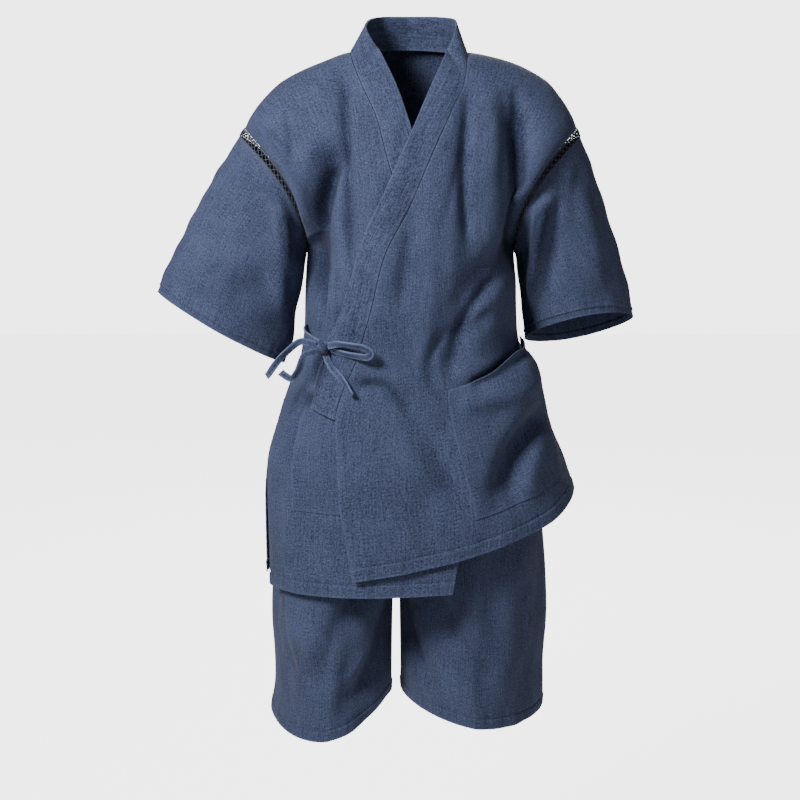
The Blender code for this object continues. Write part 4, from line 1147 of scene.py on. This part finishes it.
def noise(tree, place, pitch_u, pitch_v, detail=2.0, rough=0.6, seed=0.0):
    """Uneven values, about -1 to 1, in patches of pitch_u by pitch_v metres."""
    scaled = add(
        tree,
        "ShaderNodeVectorMath",
        {0: place, 1: (1 / pitch_u, 1 / pitch_v, 1.0), 2: (seed, seed, seed)},
        operation="MULTIPLY_ADD",
    )
    made = add(
        tree,
        "ShaderNodeTexNoise",
        {"Vector": scaled.outputs[0], "Scale": 1.0, "Detail": detail, "Roughness": rough},
    )
    return math_node(tree, "MULTIPLY_ADD", made.outputs[0], 4.0, -2.0)


def weave_group():
    tree = bpy.data.node_groups.new("indigo_weave", "ShaderNodeTree")
    face = tree.interface
    for name, kind in (("Dyed", "NodeSocketColor"), ("Undyed", "NodeSocketColor")):
        face.new_socket(name, in_out="INPUT", socket_type=kind)
    levels = {
        "Level": 0.36, "Flecks": 0.46, "Slubs": 0.15, "Clouds": 0.08, "Wear": 0.3, "Seed": 0.0
    }
    for name, value in levels.items():
        face.new_socket(name, in_out="INPUT", socket_type="NodeSocketFloat").default_value = value
    for name, kind in (("Color", "Color"), ("Roughness", "Float"), ("Height", "Float")):
        face.new_socket(name, in_out="OUTPUT", socket_type="NodeSocket" + kind)
    given = tree.nodes.new("NodeGroupInput").outputs
    place = add(tree, "ShaderNodeUVMap", uv_map="cloth").outputs[0]
    place = add(tree, "ShaderNodeVectorMath", {0: place, 1: given["Seed"]}, operation="ADD").outputs[
        0
    ]
    flecks = noise(tree, place, 0.0018, 0.0027, 3.0, 0.8, 3.0)
    warp = noise(tree, place, 0.0014, 0.034, 2.0, 0.6, 11.0)
    weft = noise(tree, place, 0.016, 0.0016, 2.0, 0.6, 23.0)
    clouds = noise(tree, place, 0.045, 0.080, 3.0, 0.55, 31.0)
    # Edge wear with painted crease light and painted crease shade, read from the points.
    worn_plus_painted_shade = add(tree, "ShaderNodeAttribute", attribute_name="worn_plus_painted_shade").outputs["Fac"]
    apart = add(tree, "ShaderNodeSeparateXYZ", {0: place}).outputs
    slope = math_node(tree, "ADD", apart[0], apart[1])
    twill = math_node(tree, "SINE", math_node(tree, "MULTIPLY", slope, 2 * math.pi / 0.0019))
    slubs = math_node(tree, "MULTIPLY_ADD", weft, 0.6, warp)
    value = math_node(tree, "MULTIPLY_ADD", flecks, given["Flecks"], given["Level"])
    value = math_node(tree, "MULTIPLY_ADD", slubs, given["Slubs"], value)
    value = math_node(tree, "MULTIPLY_ADD", clouds, given["Clouds"], value)
    # Adds the edge wear and the painted crease light and shade to the colour value.
    value = math_node(tree, "MULTIPLY_ADD", worn_plus_painted_shade, given["Wear"], value)
    value = math_node(tree, "MULTIPLY_ADD", twill, 0.03, value, clamp=True)
    colour = add(
        tree, "ShaderNodeMix", {0: value, 6: given["Dyed"], 7: given["Undyed"]}, data_type="RGBA"
    ).outputs[2]
    rough = math_node(tree, "MULTIPLY_ADD", flecks, 0.04, 0.82, clamp=True)
    height = math_node(tree, "MULTIPLY_ADD", twill, 0.35, math_node(tree, "ADD", slubs, flecks))
    add(tree, "NodeGroupOutput", {"Color": colour, "Roughness": rough, "Height": height})
    return tree


WEAVE = weave_group()
print("weave group:", len(WEAVE.nodes), "nodes")

# %% The cloths and the threads
DYED = (0.0060, 0.0100, 0.0330)
UNDYED = (0.1150, 0.1450, 0.2680)


def woven(name, dyed, undyed, seed, **values):
    """A cloth in the weave above, with its own colours."""
    made = bpy.data.materials.new(name)
    made.use_nodes = True
    tree = made.node_tree
    shader = tree.nodes["Principled BSDF"]
    weave = add(tree, "ShaderNodeGroup", node_tree=WEAVE)
    weave.inputs["Dyed"].default_value = (*dyed, 1)
    weave.inputs["Undyed"].default_value = (*undyed, 1)
    weave.inputs["Seed"].default_value = seed
    for key, value in values.items():
        weave.inputs[key].default_value = value
    bump = add(tree, "ShaderNodeBump", {"Height": weave.outputs["Height"], "Strength": 0.35})
    bump.inputs["Distance"].default_value = 0.00035
    for socket, value in (
        ("Base Color", weave.outputs["Color"]),
        ("Roughness", weave.outputs["Roughness"]),
        ("Normal", bump.outputs["Normal"]),
    ):
        tree.links.new(value, shader.inputs[socket])
    shader.inputs["Specular IOR Level"].default_value = 0.25
    shader.inputs["Sheen Weight"].default_value = 0.06
    shader.inputs["Sheen Roughness"].default_value = 0.5
    return made


def thread(name, colour):
    """A sewing thread: its colour runs a little uneven along the seam."""
    made = bpy.data.materials.new(name)
    made.use_nodes = True
    tree = made.node_tree
    place = add(tree, "ShaderNodeTexCoord").outputs["Object"]
    uneven = noise(tree, place, 0.004, 0.004, 2.0, 0.6, 5.0)
    share = math_node(tree, "MULTIPLY_ADD", uneven, 0.25, 0.5, clamp=True)
    low, high = (tuple(value * factor for value in colour) + (1,) for factor in (0.6, 1.5))
    mixed = add(tree, "ShaderNodeMix", {0: share, 6: low, 7: high}, data_type="RGBA")
    shader = tree.nodes["Principled BSDF"]
    tree.links.new(mixed.outputs[2], shader.inputs["Base Color"])
    rough = math_node(tree, "MULTIPLY_ADD", uneven, 0.05, 0.6, clamp=True)
    tree.links.new(rough, shader.inputs["Roughness"])
    return made


# The wear value of each cloth scales its edge wear together with the painted crease light and shade.
DENIM = woven("indigo_denim", DYED, UNDYED, 0.0)
BAND_DENIM = woven("indigo_band", DYED, UNDYED, 3.7, Slubs=0.18, Wear=0.35)
TIE_DENIM = woven("indigo_tie", DYED, UNDYED, 7.3, Level=0.20, Wear=1.3)
THREAD = thread("indigo_thread", (0.060, 0.075, 0.130))
LACE_THREAD = thread("lace_thread", (0.040, 0.045, 0.070))
for name in PANELS:
    band = BAND_DENIM if name in ("collar_band", "waist_band") else DENIM
    tied = name.startswith(("tie_", "knot_"))
    bpy.data.objects[name].data.materials.append(TIE_DENIM if tied else band)
print(len(PANELS), "sheets of denim")

# %% [markdown]
# Every hem, fold and seam is held by a line of stitches, and the armholes by crossing threads.
# Both follow a path that the panels already know. Stitches could be painted, but up close each
# one is a small raised loop of thread, so a Geometry Nodes tree sets one on the path every few
# millimetres. A second tree turns a path into a round thread. Both take their sizes as inputs.

# %% Lines of stitches and round threads
def geometry_tree(name, sizes):
    """A tree with a path coming in, the given sizes, and a mesh going out."""
    tree = bpy.data.node_groups.new(name, "GeometryNodeTree")
    face = tree.interface
    face.new_socket("Path", in_out="INPUT", socket_type="NodeSocketGeometry")
    for size in sizes:
        face.new_socket(size, in_out="INPUT", socket_type="NodeSocketFloat").default_value = sizes[
            size
        ]
    face.new_socket("Thread Material", in_out="INPUT", socket_type="NodeSocketMaterial")
    face.new_socket("Mesh", in_out="OUTPUT", socket_type="NodeSocketGeometry")
    given = tree.nodes.new("NodeGroupInput").outputs
    path = add(tree, "GeometryNodeMeshToCurve", {0: given["Path"]}).outputs[0]
    return tree, given, path


def end_tree(tree, given, mesh):
    real = add(tree, "GeometryNodeRealizeInstances", {0: mesh}).outputs[0]
    soft = add(tree, "GeometryNodeSetShadeSmooth", {0: real}).outputs[0]
    dyed = add(tree, "GeometryNodeSetMaterial", {0: soft, "Material": given["Thread Material"]})
    add(tree, "NodeGroupOutput", {0: dyed.outputs[0]})


def stitch_tree():
    tree, given, path = geometry_tree(
        "run_of_stitches", {"Pitch": 0.0031, "Length": 0.0024, "Width": 0.0006}
    )
    points = add(
        tree,
        "GeometryNodeResampleCurve",
        {"Curve": path, "Length": given["Pitch"]},
        mode="LENGTH",
    )
    loop = add(tree, "GeometryNodeMeshUVSphere", {"Segments": 6, "Rings": 4, "Radius": 0.5}).outputs[
        0
    ]
    size = add(
        tree, "ShaderNodeCombineXYZ", {0: given["Width"], 1: given["Width"], 2: given["Length"]}
    )
    loop = add(tree, "GeometryNodeTransform", {0: loop, "Scale": size.outputs[0]}).outputs[0]
    way = tree.nodes.new("GeometryNodeInputTangent").outputs[0]
    turn = add(tree, "FunctionNodeAlignRotationToVector", {"Vector": way}, axis="Z").outputs[0]
    laid = add(
        tree,
        "GeometryNodeInstanceOnPoints",
        {"Points": points.outputs[0], "Instance": loop, "Rotation": turn},
    )
    end_tree(tree, given, laid.outputs[0])
    return tree


def thread_tree():
    tree, given, path = geometry_tree("round_thread", {"Radius": 0.0004})
    ring = add(
        tree, "GeometryNodeCurvePrimitiveCircle", {"Resolution": 6, "Radius": given["Radius"]}
    )
    tube = add(tree, "GeometryNodeCurveToMesh", {"Curve": path, "Profile Curve": ring.outputs[0]})
    end_tree(tree, given, tube.outputs[0])
    return tree


STITCHES, ROUND_THREAD = stitch_tree(), thread_tree()


def sewn(name, tree, paths, material, **sizes):
    """One mesh from the paths, made by a Geometry Nodes tree whose inputs are set first."""
    mesh = bpy.data.meshes.new(name + "_path")
    count = np.cumsum([0] + [len(path) for path in paths])
    joins = [(a + k, a + k + 1) for a, path in zip(count, paths) for k in range(len(path) - 1)]
    mesh.from_pydata(np.concatenate(paths).tolist(), joins, [])
    holder = bpy.data.objects.new(name + "_path", mesh)
    bpy.context.scene.collection.objects.link(holder)
    made = holder.modifiers.new("Thread", "NODES")
    made.node_group = tree
    sockets = {item.name: item.identifier for item in tree.interface.items_tree}
    made[sockets["Thread Material"]] = material
    for key, value in sizes.items():
        made[sockets[key]] = value
    graph = bpy.context.evaluated_depsgraph_get()
    graph.update()
    result = bpy.data.meshes.new_from_object(holder.evaluated_get(graph))
    result.name = name
    bpy.data.objects.remove(holder)
    piece = bpy.data.objects.new(name, result)
    bpy.context.scene.collection.objects.link(piece)
    print(name, len(result.polygons), "faces")
    return piece


def beside(name, edge, distance, lift=0.0001, first=0.0, last=1.0):
    """The places on a panel at a distance from its hem, its top, or its first or last column."""
    places, out = GRIDS[name]
    if edge in ("first", "last"):
        places, out = places.swapaxes(0, 1), out.swapaxes(0, 1)
    if edge in ("top", "last"):
        places, out = places[::-1], out[::-1]
    away = lengths(places, 0)
    row = np.clip((away < distance).sum(0), 1, len(away) - 1)
    k = np.arange(places.shape[1])
    t = ((distance - away[row - 1, k]) / (away[row, k] - away[row - 1, k]))[:, None]
    line = places[row - 1, k] * (1 - t) + places[row, k] * t + out[row, k] * lift
    return line[int(first * (len(line) - 1)) : int(last * (len(line) - 1)) + 1]


SEAM_LINES = {
    "left_front": [("hem", JACKET_HEM), ("first", EDGE_FOLD, 0.0, 0.35)],
    "right_front": [
        ("hem", JACKET_HEM), ("last", EDGE_FOLD, 0.0, 0.35), ("first", VENT_HEM, 0.0, 0.3)
    ],
    "back_cloth": [
        ("hem", JACKET_HEM), ("first", EDGE_FOLD, 0.0, 0.3), ("last", VENT_HEM, 0.0, 0.2)
    ],
    "collar_band": [
        ("hem", 0.0026), ("hem", 0.0062), ("top", 0.0020), ("first", 0.004), ("last", 0.004)
    ],
    "right_sleeve": [("hem", CUFF_HEM), ("top", 0.0022)],
    "left_sleeve": [("hem", CUFF_HEM), ("top", 0.0022)],
    "right_leg": [("hem", LEG_HEM_WIDTH)],
    "left_leg": [("hem", LEG_HEM_WIDTH)],
    "left_pocket": [
        ("first", POCKET_STITCH),
        ("last", POCKET_STITCH),
        ("hem", POCKET_STITCH),
        ("top", 0.018),
    ],
    "right_pocket": [
        ("first", POCKET_STITCH),
        ("last", POCKET_STITCH),
        ("hem", POCKET_STITCH),
        ("top", 0.018),
    ],
}
for name in STRAPS:
    SEAM_LINES[name + "_cloth"] = [("hem", 0.0016), ("top", 0.0016)]
SEWN = {}
for name, lines in SEAM_LINES.items():
    paths = [beside(name, edge, distance, 0.0001, *span) for edge, distance, *span in lines]
    SEWN[name] = [sewn(name + "_stitches", STITCHES, paths, THREAD)]

# %% [markdown]
# Openwork joins each sleeve to the jacket: two corded edges and, between them, threads that
# cross from one edge to the other. Light shows through it. Its solid has
# flat straight bars, and here each thread is a round cord.

# %% The openwork of the armholes
CROSSING = 0.0084  # distance between two crossings


def openwork(side, around, share, lift):
    """A place on the tape: share is 0 at the jacket and 1 at the sleeve."""
    length = sleeve_length(side, around)
    along = (SEAM + LACE * share) / length
    return sleeve_plain(side, around, along) + sleeve_way(side, around, along) * (
        lift - 0.0006
    )[..., None]


def lace_paths(side):
    girth = lengths(openwork(side, np.linspace(0, 1, 200), 0.5 + np.zeros(200), np.zeros(200))[None], 1)[
        0, -1
    ]
    count = int(round(girth / CROSSING))
    round_it = np.linspace(0, 1, 4 * count + 1)
    rails = []
    for share in (0.04, 0.10, 0.90, 0.96):
        rails.append(openwork(side, round_it, share + 0 * round_it, 0 * round_it))
    t = np.linspace(0, 1, 7)
    bars = []
    for k in range(count):
        for lean, lift in ((1, 0.0004), (-1, -0.0004)):
            middle = (k + 0.5) / count
            around = middle + lean * (t - 0.5) * 1.15 / count
            bars.append(openwork(side, around, 0.07 + 0.86 * t, lift * np.sin(np.pi * t)))
    return rails, bars


LACES = {}
for side, name in ((-1, "right_openwork"), (1, "left_openwork")):
    rails, bars = lace_paths(side)
    LACES[name] = sewn(name, ROUND_THREAD, rails + bars, LACE_THREAD, Radius=0.00066)

# %% Standing for the solids
Stand = namedtuple("Stand", "nodes held rests_on others")
STANDS_FOR = {
    "left_front": Stand(["front_left"], "hung", ["right_front"], []),
    "right_front": Stand(["front_right"], "hung", ["right_leg"], []),
    "back_cloth": Stand(["back"], "hung", ["left_front"], []),
    "collar_band": Stand(["collar"], "folded", ["left_front", "right_front", "back_cloth"], []),
    "right_sleeve": Stand(["sleeve_right"], "hung", ["right_openwork"], ["right_openwork"]),
    "left_sleeve": Stand(["sleeve_left"], "hung", ["left_openwork"], ["left_openwork"]),
    "right_leg": Stand(["trouser_right"], "hung", ["waist_band"], []),
    "left_leg": Stand(["trouser_left"], "hung", ["waist_band"], []),
    "waist_band": Stand(["waistband"], "gathered", ["left_leg", "right_leg"], []),
    "left_pocket": Stand(["pocket_left"], "hung", ["left_front"], []),
    "right_pocket": Stand(["pocket_right"], "hung", ["right_front"], []),
    "knot_over": Stand(["tie_knot"], "folded", ["knot_under"], []),
    "knot_under": Stand([], "folded", ["left_front"], []),
}
for name in STRAPS:
    STANDS_FOR[name + "_cloth"] = Stand([name], "folded", ["knot_over"], [])
for name, nodes in (
    ("right_openwork", ["lace_right_front", "lace_right_back"]),
    ("left_openwork", ["lace_left_front", "lace_left_back"]),
):
    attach(LACES[name], "root")
    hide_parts(*nodes)
for name, stand in STANDS_FOR.items():
    made = bpy.data.objects[name]
    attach(made, "root")
    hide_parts(*stand.nodes)
    for other in SEWN.get(name, []):
        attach(other, "root")
    wide, long, area = PANELS[name]
    wide, long = round(wide, 3), round(long, 3)
    area = min(area, wide * long)

# %% [markdown]
# The garment is seen from chest height in front of a white wall. One large light stands in
# front, high and to the left, so that every fold has a lit side and a dark side, and the room
# itself gives only a little light. The floor and the background are white to the camera alone,
# so that they don't light the cloth from below.

# %% Light and camera
WHITE = 4.0  # brightness of the background, as the camera sees it
ROOM = 0.13  # light of the room on the garment

world = bpy.data.worlds.new("studio")
bpy.context.scene.world = world
world.use_nodes = True
seen = add(world.node_tree, "ShaderNodeLightPath").outputs["Is Camera Ray"]
level = math_node(world.node_tree, "MULTIPLY_ADD", seen, WHITE - ROOM, ROOM)
back_light = world.node_tree.nodes["Background"]
back_light.inputs["Color"].default_value = (1, 1, 1, 1)
world.node_tree.links.new(level, back_light.inputs["Strength"])


def area_light(name, place, aim, size, power_w):
    lamp = bpy.data.lights.new(name, "AREA")
    lamp.shape = "RECTANGLE"
    lamp.size, lamp.size_y = size
    lamp.energy = power_w
    made = bpy.data.objects.new(name, lamp)
    made.location = place
    made.rotation_euler = (Vector(aim) - Vector(place)).to_track_quat("-Z", "Y").to_euler()
    bpy.context.scene.collection.objects.link(made)


area_light("key", (-1.2, -1.35, 0.95), (0, 0, -0.30), (0.6, 0.6), 74)
area_light("fill", (1.8, -1.6, 0.3), (0, 0, -0.5), (1.2, 1.2), 7)
area_light("behind", (0.3, 2.6, 0.8), (0, 0, -0.4), (1.6, 1.6), 60)

mesh = bpy.data.meshes.new("floor")
mesh.from_pydata(
    [(-6, -6, -1.42), (6, -6, -1.42), (6, 6, -1.42), (-6, 6, -1.42)], [], [(0, 1, 2, 3)]
)
floor = bpy.data.objects.new("floor", mesh)
bpy.context.scene.collection.objects.link(floor)
pale = bpy.data.materials.new("pale_floor")
pale.use_nodes = True
shader = pale.node_tree.nodes["Principled BSDF"]
shader.inputs["Base Color"].default_value = (0.8, 0.8, 0.8, 1)
shader.inputs["Roughness"].default_value = 0.9
shader.inputs["Emission Color"].default_value = (1, 1, 1, 1)
seen = add(pale.node_tree, "ShaderNodeLightPath").outputs["Is Camera Ray"]
level = math_node(pale.node_tree, "MULTIPLY", seen, 3.5)
pale.node_tree.links.new(level, shader.inputs["Emission Strength"])
mesh.materials.append(pale)

camera = bpy.data.cameras.new("camera")
camera.lens = 73.67
camera.sensor_width = 36
eye = bpy.data.objects.new("camera", camera)
eye.location = (-0.0117, -2.30, 0.0)
eye.rotation_euler = (math.radians(78), 0, 0)
bpy.context.scene.collection.objects.link(eye)
bpy.context.scene.camera = eye
